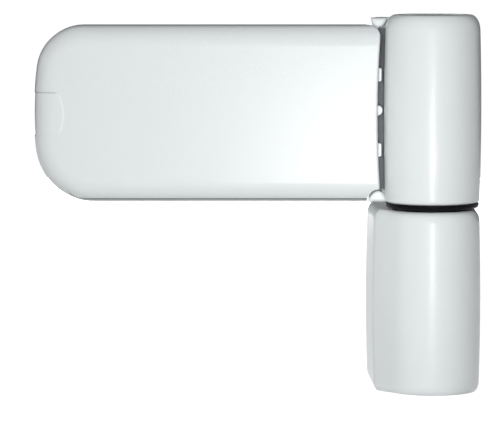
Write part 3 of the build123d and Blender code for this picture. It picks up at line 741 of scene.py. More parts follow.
class Stock:
    """A blank that is shaped about its own Z axis with the edit tools, then stood in its place."""

    def __init__(self, name: str) -> None:
        """Takes hold of the primitive that was just added."""
        self.piece = bpy.context.object
        self.piece.name = name
        self.piece.data.name = name

    @classmethod
    def bar(
        cls, name: str, radius: float, low: float, high: float, sides: int = SMALL_ROUND
    ) -> "Stock":
        """Round bar.

        Args:
            name: The piece's name.
            radius: Its radius in millimetres.
            low: Where it starts on its axis.
            high: Where it ends.
            sides: How many flats make it round.

        Returns:
            The stock.
        """
        bpy.ops.object.select_all(action="DESELECT")
        bpy.ops.mesh.primitive_cylinder_add(
            vertices=sides,
            radius=radius * MM,
            depth=(high - low) * MM,
            location=(0, 0, (low + high) / 2 * MM),
        )
        bpy.ops.object.transform_apply(location=True, rotation=True, scale=True)
        return cls(name)

    @classmethod
    def block(cls, name: str, low: Sequence[float], high: Sequence[float]) -> "Stock":
        """Square block.

        Args:
            name: The piece's name.
            low: Its lowest corner in millimetres.
            high: Its highest corner.

        Returns:
            The stock.
        """
        corners = Vector(low) * MM, Vector(high) * MM
        bpy.ops.object.select_all(action="DESELECT")
        bpy.ops.mesh.primitive_cube_add(size=1, location=(corners[0] + corners[1]) / 2)
        bpy.ops.transform.resize(value=corners[1] - corners[0])
        bpy.ops.object.transform_apply(location=True, rotation=True, scale=True)
        return cls(name)

    @classmethod
    def tooth(cls, name: str, crest: float, depth: float, pitch: float) -> "Stock":
        """The vee of a thread: a triangle without its base, which points away from the axis.

        Args:
            name: The piece's name.
            crest: The radius of the thread's crest.
            depth: How deep the vee is.
            pitch: How wide its base is.

        Returns:
            The stock.
        """
        bpy.ops.object.select_all(action="DESELECT")
        bpy.ops.mesh.primitive_circle_add(vertices=3, radius=MM, fill_type="NOTHING")
        stock = cls(name)
        stock.piece.matrix_world = (
            Matrix.Translation(((crest - 2 * depth / 3) * MM, 0, 0))
            @ Matrix.Diagonal((depth / 1.5, 1, pitch / math.sqrt(3), 1))
            @ Matrix(((0, 1, 0, 0), (0, 0, 1, 0), (1, 0, 0, 0), (0, 0, 0, 1)))
        )
        bpy.ops.object.transform_apply(location=True, rotation=True, scale=True)
        stock.pick(Pick.EDGES, lambda centre, _: centre.x < (crest - 0.9 * depth) * MM)
        bpy.ops.mesh.delete(type="EDGE")
        stock.rest()
        return stock

    def hold(self) -> None:
        """Makes this the one piece that object tools act on."""
        bpy.ops.object.select_all(action="DESELECT")
        self.piece.select_set(True)
        bpy.context.view_layer.objects.active = self.piece

    def pick(self, what: Pick, test: Test) -> int:
        """Selects faces or edges in edit mode.

        Args:
            what: Faces or edges.
            test: Says yes to a centre and a normal, or to a centre and an edge's direction.

        Returns:
            How many were selected.
        """
        self.hold()
        bpy.ops.object.mode_set(mode="EDIT")
        bpy.ops.mesh.select_mode(type=what.value)
        bpy.ops.mesh.select_all(action="DESELECT")
        shape = bmesh.from_edit_mesh(self.piece.data)
        taken = 0
        if what is Pick.FACES:
            for face in shape.faces:
                if test(face.calc_center_median(), face.normal):
                    face.select_set(True)
                    taken += 1
        else:
            for edge in shape.edges:
                ends = [vert.co for vert in edge.verts]
                if test((ends[0] + ends[1]) / 2, (ends[1] - ends[0]).normalized()):
                    edge.select_set(True)
                    taken += 1
        bmesh.update_edit_mesh(self.piece.data)
        return taken

    def rest(self) -> "Stock":
        """Leaves edit mode."""
        bpy.ops.object.mode_set(mode="OBJECT")
        return self

    def ring(self, level: float, radius: float) -> Test:
        """A test for the edges of a round rim.

        Args:
            level: The rim's place on the axis.
            radius: The rim's radius.

        Returns:
            The test, for use with pick.
        """
        return lambda centre, way: (
            on_level(centre, level)
            and abs(way.z) < ACROSS
            and abs(off_axis(centre) - radius * MM) < 0.02 * radius * MM
        )

    def break_rim(self, level: float, radius: float, width: float, steps: int = 1) -> "Stock":
        """Bevels a round rim.

        Args:
            level: The rim's place on the axis.
            radius: The rim's radius.
            width: How far the bevel reaches.
            steps: One for a chamfer, more for a round.

        Returns:
            The stock.
        """
        self.pick(Pick.EDGES, self.ring(level, radius))
        bpy.ops.mesh.bevel(offset=width * MM, segments=steps, affect="EDGES")
        return self.rest()

    def inset_end(self, level: float, facing: Facing, by: float, within: float) -> "Stock":
        """Insets an end face and leaves it selected in edit mode.

        Args:
            level: The face's place on the axis.
            facing: The way that it faces.
            by: How far its border comes in.
            within: The radius that its middle lies within.

        Returns:
            The stock.
        """
        way = Vector(facing.value)
        self.pick(
            Pick.FACES,
            lambda centre, normal: (
                on_level(centre, level)
                and normal.dot(way) > ALONG
                and off_axis(centre) < within * MM
            ),
        )
        bpy.ops.mesh.inset(thickness=by * MM)
        return self

    def draw(self, travel: float) -> "Stock":
        """Extrudes what is selected along the axis and leaves edit mode."""
        bpy.ops.mesh.extrude_region_move(TRANSFORM_OT_translate={"value": (0, 0, travel * MM)})
        return self.rest()

    def split_at(self, place: Sequence[float], normal: Sequence[float]) -> "Stock":
        """Scores the whole piece along a plane.

        Args:
            place: A point on the plane, in millimetres.
            normal: The way that the plane faces.

        Returns:
            The stock.
        """
        self.pick(Pick.FACES, lambda centre, _: True)
        bpy.ops.mesh.bisect(plane_co=[value * MM for value in place], plane_no=normal)
        return self.rest()

    def trim(self, level: float, facing: Facing) -> "Stock":
        """Cuts off what lies beyond a level and closes the cut.

        Args:
            level: The cut's place on the axis.
            facing: The way towards what is cut off.

        Returns:
            The stock.
        """
        self.pick(Pick.FACES, lambda centre, _: True)
        bpy.ops.mesh.bisect(
            plane_co=(0, 0, level * MM), plane_no=facing.value, use_fill=True, clear_outer=True
        )
        return self.rest()

    def work(self, other: "Stock", cut: Cut) -> "Stock":
        """Works the piece with another piece of stock, which is used up.

        Args:
            other: The other piece.
            cut: Whether it is cut away, kept in common or welded on.

        Returns:
            The stock.
        """
        self.hold()
        bpy.ops.object.modifier_add(type="BOOLEAN")
        tool = self.piece.modifiers[-1]
        tool.operation, tool.solver, tool.object = cut.value, "EXACT", other.piece
        bpy.ops.object.modifier_apply(modifier=tool.name)
        bpy.data.objects.remove(other.piece)
        return self

    def wind(self, pitch: float, turns: int, steps: int) -> "Stock":
        """Carries a profile round the axis as a helix and joins its turns.

        Args:
            pitch: How far it climbs in a turn.
            turns: How many turns it takes.
            steps: How many steps make a turn.

        Returns:
            The stock.
        """
        self.hold()
        bpy.ops.object.modifier_add(type="SCREW")
        turn = self.piece.modifiers[-1]
        turn.axis, turn.screw_offset, turn.iterations = "Z", pitch * MM, turns
        turn.steps = turn.render_steps = steps
        turn.use_merge_vertices = False
        bpy.ops.object.modifier_apply(modifier=turn.name)
        self.pick(Pick.FACES, lambda centre, _: True)
        bpy.ops.mesh.remove_doubles(threshold=1e-6)
        bpy.ops.mesh.select_all(action="SELECT")
        bpy.ops.mesh.normals_make_consistent(inside=False)
        return self.rest()

    def copy(self, name: str) -> "Stock":
        """A second piece like this one, with its own mesh."""
        self.hold()
        bpy.ops.object.duplicate(linked=False)
        return Stock(name)

    def stand(self, place: Sequence[float], way: Sequence[float]) -> "Stock":
        """Puts the piece in its place.

        Args:
            place: Where its origin goes, in millimetres.
            way: The direction that its axis points in.

        Returns:
            The stock.
        """
        self.hold()
        self.piece.matrix_world = (
            Matrix.Translation(Vector(place) * MM)
            @ Vector(way).to_track_quat("Z", "Y").to_matrix().to_4x4()
        )
        bpy.ops.object.transform_apply(location=True, rotation=True, scale=True)
        return self

    def smooth(self, limit: float = 32.0) -> "Stock":
        """Smooths the shading.

        Args:
            limit: The angle in degrees beyond which a corner stays sharp.

        Returns:
            The stock.
        """
        self.hold()
        bpy.ops.object.shade_smooth_by_angle(angle=math.radians(limit))
        return self


@dataclass
class Thread:
    """A vee thread on a screw."""

    crest: float
    pitch: float
    steps: int = 24

    @property
    def depth(self) -> float:
        """How deep the vee is cut."""
        return 0.61 * self.pitch

    def rod(self, name: str, low: float, high: float) -> Stock:
        """A closed threaded rod, a turn longer than asked for at each end.

        Args:
            name: The rod's name.
            low: Where its useful length starts.
            high: Where it ends.

        Returns:
            The rod, ready to be cut to the screw's outline.
        """
        turns = math.ceil((high - low) / self.pitch) + 4
        rod = Stock.tooth(name, self.crest, self.depth, self.pitch)
        rod.wind(self.pitch, turns, self.steps).hold()
        bpy.ops.transform.translate(value=(0, 0, (low - 2 * self.pitch) * MM))
        bpy.ops.object.transform_apply(location=True, rotation=True, scale=True)
        rod.trim(high + self.pitch / 2, Facing.UP)
        return rod.trim(low - self.pitch / 2, Facing.DOWN)


def hex_key(across: float, mouth: float, depth: float, inwards: int) -> Stock:
    """A cutter for a hexagon socket with a drilled point at its bottom.

    Args:
        across: The socket's width across flats.
        mouth: Where it opens on the axis.
        depth: How deep its flats go.
        inwards: 1 or -1, the way that it goes in along the axis.

    Returns:
        The cutter.
    """
    bottom = mouth + inwards * depth
    low, high = sorted((mouth - inwards * OVERCUT, bottom))
    key = Stock.bar("hex_key", across / math.sqrt(3), low, high, 6)
    key.inset_end(bottom, Facing.UP if inwards > 0 else Facing.DOWN, 0.04 * across, across)
    point = (0, 0, inwards * across * 0.22 * MM)
    bpy.ops.mesh.extrude_region_move(TRANSFORM_OT_translate={"value": point})
    bpy.ops.mesh.merge(type="CENTER")
    return key.rest()


@dataclass(frozen=True)
class GrubScrew:
    """Headless threaded screw with a hexagon socket in its mouth and a cone at its tip."""

    radius: float
    length: float
    pitch: float
    hex_size: float
    rim: float = 0.08

    def make(self, name: str) -> Stock:
        """Models the screw with its mouth at the origin and its tip below.

        Args:
            name: The screw's name.

        Returns:
            The stock.
        """
        tip = self.radius / 2
        outline = Stock.bar(name, self.radius, -self.length, 0, ROUND)
        outline.break_rim(-self.length, self.radius, tip)
        outline.break_rim(0, self.radius, 0.35 * self.pitch + self.rim)
        outline.work(Thread(self.radius, self.pitch).rod("rod", -self.length, 0), Cut.COMMON)
        outline.work(hex_key(self.hex_size, 0, (self.length - tip) / 2, -1), Cut.AWAY)
        return outline.smooth()


# ---------------------------------------------------------------------------
# The hinge's sub-assemblies
# ---------------------------------------------------------------------------


@dataclass
class SubAssembly:
    """What the groups of pieces share: the paint shop and a record of what was made."""

    shop: PaintShop
    made: list[str] = field(default_factory=list)

    def fit(self, stock: Stock, body: str, slot: str, *nodes: str) -> None:
        """Dresses a finished piece and lets it ride on its body in place of its nodes.

        Args:
            stock: The piece, in its place.
            body: The body that it rides on.
            slot: The record's slot for its finish.
            nodes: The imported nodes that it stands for.
        """
        self.shop.dress(stock.piece, slot)
        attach(stock.piece, body)
        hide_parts(*nodes)
        self.made.append(stock.piece.name)
        faces = len(stock.piece.data.polygons)
        log.info("%s: %d faces, rides on %s", stock.piece.name, faces, body)


@dataclass
class KnuckleCaps(SubAssembly):
    """The two push-in caps that close the hinge, with a dished face and a split skirt."""

    radius: float = 9.0
    thickness: float = 1.2
    rim: float = 0.4
    border: float = 1.0
    bead: float = 0.35
    dish: float = 0.22
    skirt: float = 7.8
    wall: float = 1.4
    skirt_length: float = 3.0
    notch_radius: float = 1.1
    notch_out: float = 0.25
    notch_span: tuple[float, float] = (-0.45, 0.4)
    foot_level: float = -22.75
    head_level: float = 71.25

    def build(self) -> None:
        """Models one cap, copies it, and closes both ends of the hinge."""
        cap = Stock.bar("foot_cap", self.radius, -self.thickness, 0, WIDE_ROUND)
        cap.break_rim(0, self.radius, self.rim, 5)
        cap.inset_end(0, Facing.UP, self.border, self.radius).draw(-self.dish)
        cap.inset_end(-self.dish, Facing.UP, self.bead, self.radius).draw(self.dish / 2)
        self._skirt(cap)
        notch = Stock.bar("notch", self.notch_radius, *self.notch_span, 32)
        notch.stand((0, -self.radius - self.notch_out, 0), Facing.UP.value)
        cap.work(notch, Cut.AWAY)
        head = cap.copy("head_cap")
        cap.stand((0, -PIN_FRONT, self.foot_level), Facing.DOWN.value).smooth()
        head.stand((0, -PIN_FRONT, self.head_level), Facing.UP.value).smooth()
        self.fit(cap, "frame", "cover_plastic", "bottom_cap")
        self.fit(head, "door_leaf", "cover_plastic", "top_cap")

    def _skirt(self, cap: Stock) -> None:
        """Draws the skirt out of the cap's back and splits it across.

        Args:
            cap: The cap, facing up.
        """
        cap.inset_end(-self.thickness, Facing.DOWN, self.radius - self.skirt, self.radius)
        bpy.ops.mesh.inset(thickness=self.wall * MM)
        cap.rest()
        middle = self.skirt - self.wall / 2
        cap.pick(
            Pick.FACES,
            lambda centre, normal: (
                normal.z < -ALONG
                and on_level(centre, -self.thickness)
                and abs(off_axis(centre) - middle * MM) < 0.3 * self.wall * MM
            ),
        )
        cap.draw(-self.skirt_length)
        low = -self.thickness - self.skirt_length - OVERCUT
        slit = Stock.block(
            "slit",
            (-self.radius, -self.wall / 2, low),
            (self.radius, self.wall / 2, -self.thickness),
        )
        cap.work(slit, Cut.AWAY)


@dataclass
class LockingScrews(SubAssembly):
    """The grub screws that hold the bracket, the pin and the leaf."""

    bracket: GrubScrew = GrubScrew(radius=2.0, length=3.17, pitch=0.7, hex_size=2.0)
    bracket_mouth: tuple[float, float] = (11.4, -3.0)
    bracket_level: float = 10.4
    pin_lock: GrubScrew = GrubScrew(radius=2.0, length=7.45, pitch=0.7, hex_size=2.0)
    pin_lock_mouth: float = 12.005
    pin_lock_angle: float = 35.0
    pin_lock_level: float = 4.8
    keeper: GrubScrew = GrubScrew(radius=2.5, length=7.05, pitch=0.8, hex_size=2.5)
    keeper_mouth: float = 11.4
    keeper_angle: float = 45.0
    keeper_level: float = 52.0

    def build(self) -> None:
        """Models the screws in their threaded holes."""
        lower = self.bracket.make("bracket_screw_low")
        upper = lower.copy("bracket_screw_high")
        across, deep = self.bracket_mouth
        for screw, level in ((lower, -self.bracket_level), (upper, self.bracket_level)):
            screw.stand((across, deep, level), Facing.NEAR.value)
            self.fit(screw, "frame", "screw_steel", "bracket_screws")
        lock = self.pin_lock.make("pin_lock")
        self._radial(lock, self.pin_lock_angle, self.pin_lock_mouth, self.pin_lock_level)
        self.fit(lock, "frame", "screw_steel", "pin_lock_screw")
        keeper = self.keeper.make("keeper")
        self._radial(keeper, self.keeper_angle, self.keeper_mouth, self.keeper_level)
        self.fit(keeper, "door_leaf", "screw_steel", "keeper_screw")

    @staticmethod
    def _radial(screw: Stock, angle: float, reach: float, level: float) -> None:
        """Stands a screw with its mouth away from the pin.

        Args:
            screw: The screw.
            angle: Where it stands round the pin, in degrees from the near side.
            reach: How far its mouth lies from the pin's axis.
            level: Its level.
        """
        way = Vector((math.cos(math.radians(angle)), math.sin(math.radians(angle)), 0))
        screw.stand((way.x * reach, way.y * reach - PIN_FRONT, level), way)


@dataclass
class HeightScrew(SubAssembly):
    """The stout screw under the pin, turned from below to lift the door."""

    radius: float = 6.0
    length: float = 9.0
    pitch: float = 1.5
    hex_size: float = 4.0
    rim: float = 0.7
    top: float = -4.5

    def build(self) -> None:
        """Models the screw with its socket at the bottom."""
        screw = Stock.bar("lift_screw", self.radius, -self.length, 0, WIDE_ROUND)
        for end in (0, -self.length):
            screw.break_rim(end, self.radius, self.rim)
        screw.work(Thread(self.radius, self.pitch, 32).rod("rod", -self.length, 0), Cut.COMMON)
        screw.work(hex_key(self.hex_size, -self.length, self.length / 2, 1), Cut.AWAY)
        screw.smooth().stand((0, -PIN_FRONT, self.top), Facing.UP.value)
        self.fit(screw, "height_adjuster", "screw_steel", "height_screw")


@dataclass
class SideAdjuster(SubAssembly):
    """The side screw in the casting's fork, its spring clip, and the nut that it moves."""

    front: float = 24.1
    head_end: float = -75.95
    head_radius: float = 2.85
    head_length: float = 3.9
    head_rim: float = 0.4
    neck_radius: float = 1.7
    neck_length: float = 4.1
    thread_radius: float = 2.5
    thread_end: float = -45.0
    thread_rims: tuple[float, float] = (0.3, 0.45)
    pitch: float = 0.8
    hex_size: float = 2.5
    clip_middle: float = -70.0
    clip_width: float = 3.2
    clip_span: float = 6.5
    clip_gauge: float = 0.5
    clip_leg: float = 2.37
    clip_round: float = 0.45
    flag_front: float = 26.0
    nut_middle: float = -54.0
    nut_half: float = 4.0
    nut_back: float = 21.0
    nut_front: float = 26.7
    nut_edge: float = 0.4
    bore_clearance: float = 0.05
    bore_over: float = 0.01
    bore_flare: float = 1.2
    spigot_radius: float = 2.5
    spigot_end: float = 18.2
    spigot_root: float = 0.4
    spigot_rim: float = 0.25

    def build(self) -> None:
        """Models the three pieces."""
        self._screw()
        self._clip()
        self._nut()

    def _screw(self) -> None:
        """Turns the head and neck from one bar and welds the threaded end to it."""
        shoulder = self.head_length + self.neck_length
        length = self.thread_end - self.head_end
        screw = Stock.bar("slide_screw", self.head_radius, 0, self.head_length, ROUND)
        screw.break_rim(0, self.head_radius, self.head_rim, 3)
        step = self.head_radius - self.neck_radius
        screw.inset_end(self.head_length, Facing.UP, step, self.head_radius).draw(self.neck_length)
        thread = Stock.bar("thread", self.thread_radius, shoulder, length, ROUND)
        start, end = self.thread_rims
        thread.break_rim(length, self.thread_radius, end)
        thread.break_rim(shoulder, self.thread_radius, start)
        rod = Thread(self.thread_radius, self.pitch).rod("rod", shoulder, length)
        thread.work(rod, Cut.COMMON)
        screw.work(thread, Cut.WELD)
        screw.work(hex_key(self.hex_size, 0, 2 * self.head_length / 3, 1), Cut.AWAY)
        screw.smooth().stand((self.head_end, -self.front, FLAG_LEVEL), Facing.NEAR.value)
        self.fit(screw, "side_adjuster", "screw_steel", "side_screw")

    def _clip(self) -> None:
        """Bends a strip of spring steel down into two legs."""
        half, span, gauge = self.clip_width / 2, self.clip_span, self.clip_gauge
        clip = Stock.block("fork_clip", (-half, -span, 0), (half, span, gauge))
        for side in (-1, 1):
            clip.split_at((0, side * (span - gauge), 0), (0, 1, 0))
        clip.pick(
            Pick.FACES,
            lambda centre, normal: normal.z < -ALONG and abs(centre.y) > (span - gauge) * MM,
        )
        clip.draw(-self.clip_leg)
        clip.pick(
            Pick.EDGES,
            lambda centre, way: (
                abs(way.x) > ALONG
                and (
                    (centre.z > 0.9 * gauge * MM and abs(centre.y) > 0.99 * span * MM)
                    or centre.z < (0.01 - self.clip_leg) * MM
                )
            ),
        )
        bpy.ops.mesh.bevel(offset=self.clip_round * gauge * MM, segments=4, affect="EDGES")
        place = (self.clip_middle, -self.flag_front, FLAG_LEVEL)
        clip.rest().smooth(40).stand(place, Facing.VIEWER.value)
        self.fit(clip, "door_leaf", "pin_steel", "screw_clip")

    def _nut(self) -> None:
        """Mills the nut, bores it with flared mouths and welds on its spigot."""
        half, deep = self.nut_half, self.nut_front - self.nut_back
        nut = Stock.block("slide_nut", (-half, -half, 0), (half, half, deep))
        nut.pick(
            Pick.EDGES,
            lambda centre, way: abs(way.z) > ALONG or centre.z > 0.99 * deep * MM,
        )
        bpy.ops.mesh.bevel(offset=self.nut_edge * MM, segments=3, affect="EDGES")
        nut.rest()
        low = self.spigot_end - self.nut_back
        spigot = Stock.bar("spigot", self.spigot_radius, low, self.spigot_root)
        spigot.break_rim(low, self.spigot_radius, self.spigot_rim)
        nut.work(spigot, Cut.WELD)
        radius, over = self.thread_radius + self.bore_clearance, half + self.bore_over
        bore = Stock.bar("bore", radius, -over, over)
        for end, facing in ((-over, Facing.DOWN), (over, Facing.UP)):
            bore.inset_end(end, facing, self.bore_over, radius)
            bpy.ops.transform.resize(value=(self.bore_flare, self.bore_flare, 1))
            bore.rest()
        bore.stand((0, 0, self.front - self.nut_back), Facing.NEAR.value)
        nut.work(bore, Cut.AWAY)
        nut.smooth().stand((self.nut_middle, -self.nut_back, FLAG_LEVEL), Facing.VIEWER.value)
        self.fit(nut, "sash_side", "nut_brass", "adjuster_nut")


@dataclass
class ClampSet(SubAssembly):
    """Two button-headed screws and their washers, which clamp the casting to the sash plate."""

    reach: float = -53.0
    half_spacing: float = 11.2
    washer_back: float = 23.4
    washer_radius: float = 5.0
    washer_bore: float = 2.85
    washer_gauge: float = 1.0
    washer_rim: float = 0.2
    head_radius: float = 4.3
    head_height: float = 2.2
    shank_radius: float = 2.45
    shank_root: float = 0.3
    shank_end: float = 18.2
    shank_rim: float = 0.4
    pitch: float = 0.8
    hex_size: float = 3.0

    def build(self) -> None:
        """Models one screw and one washer and copies them."""
        seat = self.washer_back + self.washer_gauge
        washer, screw = self._washer(), self._screw(self.shank_end - seat)
        above, upper = washer.copy("washer_high"), screw.copy("clamp_screw_high")
        pairs = (
            (washer, screw, FLAG_LEVEL - self.half_spacing),
            (above, upper, FLAG_LEVEL + self.half_spacing),
        )
        for ring, bolt, level in pairs:
            ring.stand((self.reach, -self.washer_back, level), Facing.VIEWER.value)
            bolt.stand((self.reach, -seat, level), Facing.VIEWER.value)
            self.fit(ring, "sash_side", "plated_steel", "clamp_washers")
            self.fit(bolt, "sash_side", "screw_steel", "clamp_screws")

    def _washer(self) -> Stock:
        """Opens a disc by bridging its inset faces, and rounds the edge that the punch left.

        Returns:
            The lower washer, facing up.
        """
        washer = Stock.bar("washer_low", self.washer_radius, 0, self.washer_gauge, ROUND)
        rim = self.washer_radius - self.washer_bore
        for level, facing in ((0.0, Facing.DOWN), (self.washer_gauge, Facing.UP)):
            washer.inset_end(level, facing, rim, self.washer_radius)
            bpy.ops.mesh.delete(type="ONLY_FACE")
            washer.rest()
        washer.pick(
            Pick.EDGES,
            lambda centre, way: (
                off_axis(centre) < (self.washer_bore + 0.1) * MM and abs(way.z) < ACROSS
            ),
        )
        bpy.ops.mesh.bridge_edge_loops()
        washer.rest()
        washer.break_rim(self.washer_gauge, self.washer_radius, self.washer_rim, 3)
        return washer.smooth()

    def _screw(self, low: float) -> Stock:
        """Rounds the head, sinks its socket and welds on the threaded shank.

        Args:
            low: Where the shank ends, under the head's seat.

        Returns:
            The lower screw, facing up.
        """
        screw = Stock.bar("clamp_screw_low", self.head_radius, 0, self.head_height, ROUND)
        screw.break_rim(self.head_height, self.head_radius, self.head_height / 2, 6)
        shank = Stock.bar("shank", self.shank_radius, low, self.shank_root, ROUND)
        shank.break_rim(low, self.shank_radius, self.shank_rim)
        rod = Thread(self.shank_radius, self.pitch).rod("rod", low, self.shank_root)
        shank.work(rod, Cut.COMMON)
        screw.work(shank, Cut.WELD)
        screw.work(hex_key(self.hex_size, self.head_height, 2 * self.head_height / 3, -1), Cut.AWAY)
        return screw.smooth()


# ---------------------------------------------------------------------------
# The studio
# ---------------------------------------------------------------------------


def aimed(place: Sequence[float], aim: Sequence[float]) -> Quaternion:
    """The turn that points a lamp or a camera from its place to its aim."""
    return (Vector(aim) - Vector(place)).to_track_quat("-Z", "Y")


@dataclass(frozen=True)
class Lamp:
    """A soft lamp: its place, aim, width and height in metres, its watts and spread in degrees."""

    name: str
    place: tuple[float, float, float]
    aim: tuple[float, float, float]
    size: tuple[float, float]
    watts: float
    spread: float = 180.0
    lights: bool = True
    glints: bool = True

    def light(self) -> None:
        """Puts the lamp up."""
        data = bpy.data.lights.new(self.name, "AREA")
        data.shape = "RECTANGLE"
        data.size, data.size_y = self.size
        data.energy = self.watts
        data.spread = math.radians(self.spread)
        lamp = bpy.data.objects.new(self.name, data)
        bpy.context.scene.collection.objects.link(lamp)
        lamp.location = self.place
        lamp.rotation_mode = "QUATERNION"
        lamp.rotation_quaternion = aimed(self.place, self.aim)
        lamp.visible_camera = False
        lamp.visible_diffuse = self.lights
        lamp.visible_glossy = self.glints


@dataclass(frozen=True)
class Card:
    """A dark upright card that only shows in gloss: where it spans across and up, in metres."""

    name: str
    across: tuple[float, float]
    up: tuple[float, float]
    deep: float = 0.6

    def hang(self, felt: bpy.types.Material) -> None:
        """Hangs the card behind the hinge.

        Args:
            felt: What the card is covered with.
        """
        (far, near), (low, high) = self.across, self.up
        bpy.ops.object.select_all(action="DESELECT")
        bpy.ops.mesh.primitive_plane_add(size=1, rotation=(math.radians(90), 0, 0))
        card = Stock(self.name).piece
        bpy.ops.transform.resize(value=(near - far, 1, high - low))
        bpy.ops.transform.translate(value=((far + near) / 2, self.deep, (low + high) / 2))
        bpy.ops.object.transform_apply(location=True, rotation=True, scale=True)
        card.data.materials.append(felt)
        card.visible_camera = card.visible_diffuse = card.visible_shadow = False
        card.visible_transmission = False


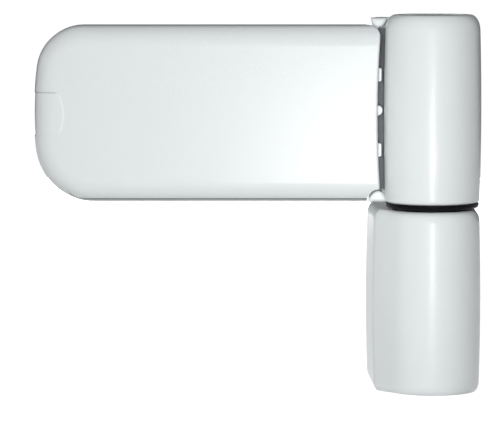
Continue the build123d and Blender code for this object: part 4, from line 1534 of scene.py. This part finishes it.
@dataclass(frozen=True)
class Studio:
    """A pale floor, a plain white surround, soft lamps and the photograph's camera."""

    eye: tuple[float, float, float] = (-0.0454, -1.0036, 0.1022)
    target: tuple[float, float, float] = (-0.0454, -0.027, 0.0202)
    lens: float = 283.2
    sensor: float = 36.0
    clip: tuple[float, float] = (0.01, 20.0)
    floor_level: float = -0.0228
    floor_size: float = 8.0
    floor_colour: Colour = (0.78, 0.79, 0.79)
    floor_shade: Colour = (0.75, 0.76, 0.765)
    floor_glow: float = 0.84
    surround: float = 0.225
    sky: Colour = (0.97, 0.99, 1.0)
    felt: Colour = (0.05, 0.05, 0.052)
    felt_nap: Colour = (0.07, 0.07, 0.072)
    lamps: tuple[Lamp, ...] = (
        Lamp(
            name="key",
            place=(-0.08, -0.41, 0.105),
            aim=(0.0, -0.027, 0.03),
            size=(0.08, 0.08),
            watts=0.288,
            spread=100,
            glints=False,
        ),
        Lamp(
            name="glint",
            place=(-0.008, -0.3, 0.003),
            aim=(-0.02, -0.027, 0.017),
            size=(0.042, 0.086),
            watts=0.192,
            lights=False,
        ),
        Lamp(
            name="top",
            place=(0.1, -0.1, 0.75),
            aim=(-0.04, -0.02, 0.03),
            size=(0.6, 0.5),
            watts=0.1,
            glints=False,
        ),
        Lamp(
            name="rear",
            place=(-0.04, 0.7, 0.03),
            aim=(-0.04, -0.02, 0.03),
            size=(0.2, 0.2),
            watts=2.6,
            glints=False,
        ),
    )
    cards: tuple[Card, ...] = (
        Card("card_near", across=(0.055, 0.9), up=(-0.02, 0.9)),
        Card("card_far", across=(-1.0, -0.155), up=(-0.02, 0.9)),
        Card("card_high", across=(-0.155, 0.055), up=(0.06, 0.9)),
    )

    def build(self) -> None:
        """Sets up the camera, the surround, the floor, the cards and the lamps."""
        self._camera()
        self._surround()
        self._floor()
        self._cards()
        for lamp in self.lamps:
            lamp.light()
        bpy.context.scene.view_settings.view_transform = "Standard"

    def _camera(self) -> None:
        """Stands the camera where the photographer's was."""
        data = bpy.data.cameras.new("camera")
        data.lens, data.sensor_width = self.lens, self.sensor
        data.clip_start, data.clip_end = self.clip
        camera = bpy.data.objects.new("camera", data)
        bpy.context.scene.collection.objects.link(camera)
        camera.location = self.eye
        camera.rotation_mode = "QUATERNION"
        camera.rotation_quaternion = aimed(self.eye, self.target)
        bpy.context.scene.camera = camera

    def _surround(self) -> None:
        """A plain world that is white to look at and in gloss, and softer as light."""
        world = bpy.data.worlds.new("surround")
        bpy.context.scene.world = world
        world.use_nodes = True
        nodes, links = world.node_tree.nodes, world.node_tree.links
        nodes.clear()
        path = nodes.new("ShaderNodeLightPath")
        soft, white = nodes.new("ShaderNodeBackground"), nodes.new("ShaderNodeBackground")
        for shade, colour, strength in ((soft, self.sky, self.surround), (white, (1, 1, 1), 1.0)):
            shade.inputs["Color"].default_value = solid(colour)
            shade.inputs["Strength"].default_value = strength
        seen = path.outputs["Is Camera Ray"]
        for name in ("Is Glossy Ray", "Is Transmission Ray"):
            either = nodes.new("ShaderNodeMath")
            either.operation = "MAXIMUM"
            links.new(seen, either.inputs[0])
            links.new(path.outputs[name], either.inputs[1])
            seen = either.outputs[0]
        mix, out = nodes.new("ShaderNodeMixShader"), nodes.new("ShaderNodeOutputWorld")
        links.new(seen, mix.inputs[0])
        links.new(soft.outputs[0], mix.inputs[1])
        links.new(white.outputs[0], mix.inputs[2])
        links.new(mix.outputs[0], out.inputs[0])

    def _floor(self) -> None:
        """A wide pale floor that keeps the hinge's soft shadow."""
        bpy.ops.object.select_all(action="DESELECT")
        bpy.ops.mesh.primitive_plane_add(size=self.floor_size, location=(0, 0, self.floor_level))
        floor = Stock("floor").piece
        recipe = Recipe("pale_floor")
        grain = recipe.cloud(40.0, recipe.place(), 3.0)
        recipe.feed(
            Base_Color=recipe.blend(grain, solid(self.floor_colour), solid(self.floor_shade)),
            Roughness=0.9,
            Specular_IOR_Level=0.1,
        )
        camera, gloss, through = (
            recipe.node("ShaderNodeLightPath", out=f"Is {kind} Ray")
            for kind in ("Camera", "Glossy", "Transmission")
        )
        none, glow = (
            recipe.node("ShaderNodeEmission", None, {"Color": solid(colour), "Strength": strength})
            for colour, strength in (((0, 0, 0), 0.0), ((1, 1, 1), self.floor_glow))
        )
        seen = camera + gloss + through
        shown = recipe.node("ShaderNodeMixShader", None, {0: seen, 1: none, 2: glow})
        lit = Wire(recipe, recipe.shader.outputs[0])
        both = recipe.node("ShaderNodeAddShader", None, {0: lit, 1: shown})
        recipe.join(both, recipe.tree.nodes["Material Output"].inputs["Surface"])
        floor.data.materials.append(recipe.material)

    def _cards(self) -> None:
        """Dark studio cards just outside the picture, which edge the white knuckles in gloss."""
        recipe = Recipe("card_felt")
        fuzz = recipe.cloud(2.0, recipe.place(), 3.0)
        recipe.feed(
            Base_Color=recipe.blend(fuzz, solid(self.felt), solid(self.felt_nap)),
            Roughness=1.0,
            Specular_IOR_Level=0.0,
        )
        for card in self.cards:
            card.hang(recipe.material)


def clear_bench() -> None:
    """Empties the scene that Blender opens with."""
    for thing in list(bpy.data.objects):
        bpy.data.objects.remove(thing)


def corners(box: tuple[Vector, Vector]) -> list[list[float]]:
    """A box as plain lists of numbers."""
    return [list(corner) for corner in box]


def main() -> None:
    """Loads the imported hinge, models what goes on it, dresses everything and lights it."""
    clear_bench()
    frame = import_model()
    Studio().build()
    shop = PaintShop(
        (
            PowderCoat(),
            MouldedPlastic(),
            BearingPlastic(),
            GroundSteel(),
            ZincPlate(),
            BlackenedSteel(),
            MachinedBrass(),
        )
    )
    for name, node in frame["nodes"].items():
        shop.dress_node(node)
        log.info("%s dressed in %s", name, node.material_slots[0].material.name)
    for assembly in (
        KnuckleCaps(shop),
        LockingScrews(shop),
        HeightScrew(shop),
        SideAdjuster(shop),
        ClampSet(shop),
    ):
        assembly.build()
        log.info("%s: %s", type(assembly).__name__, ", ".join(assembly.made))


if __name__ == "__main__":
    logging.basicConfig(level=logging.INFO, format="%(message)s")
    main()
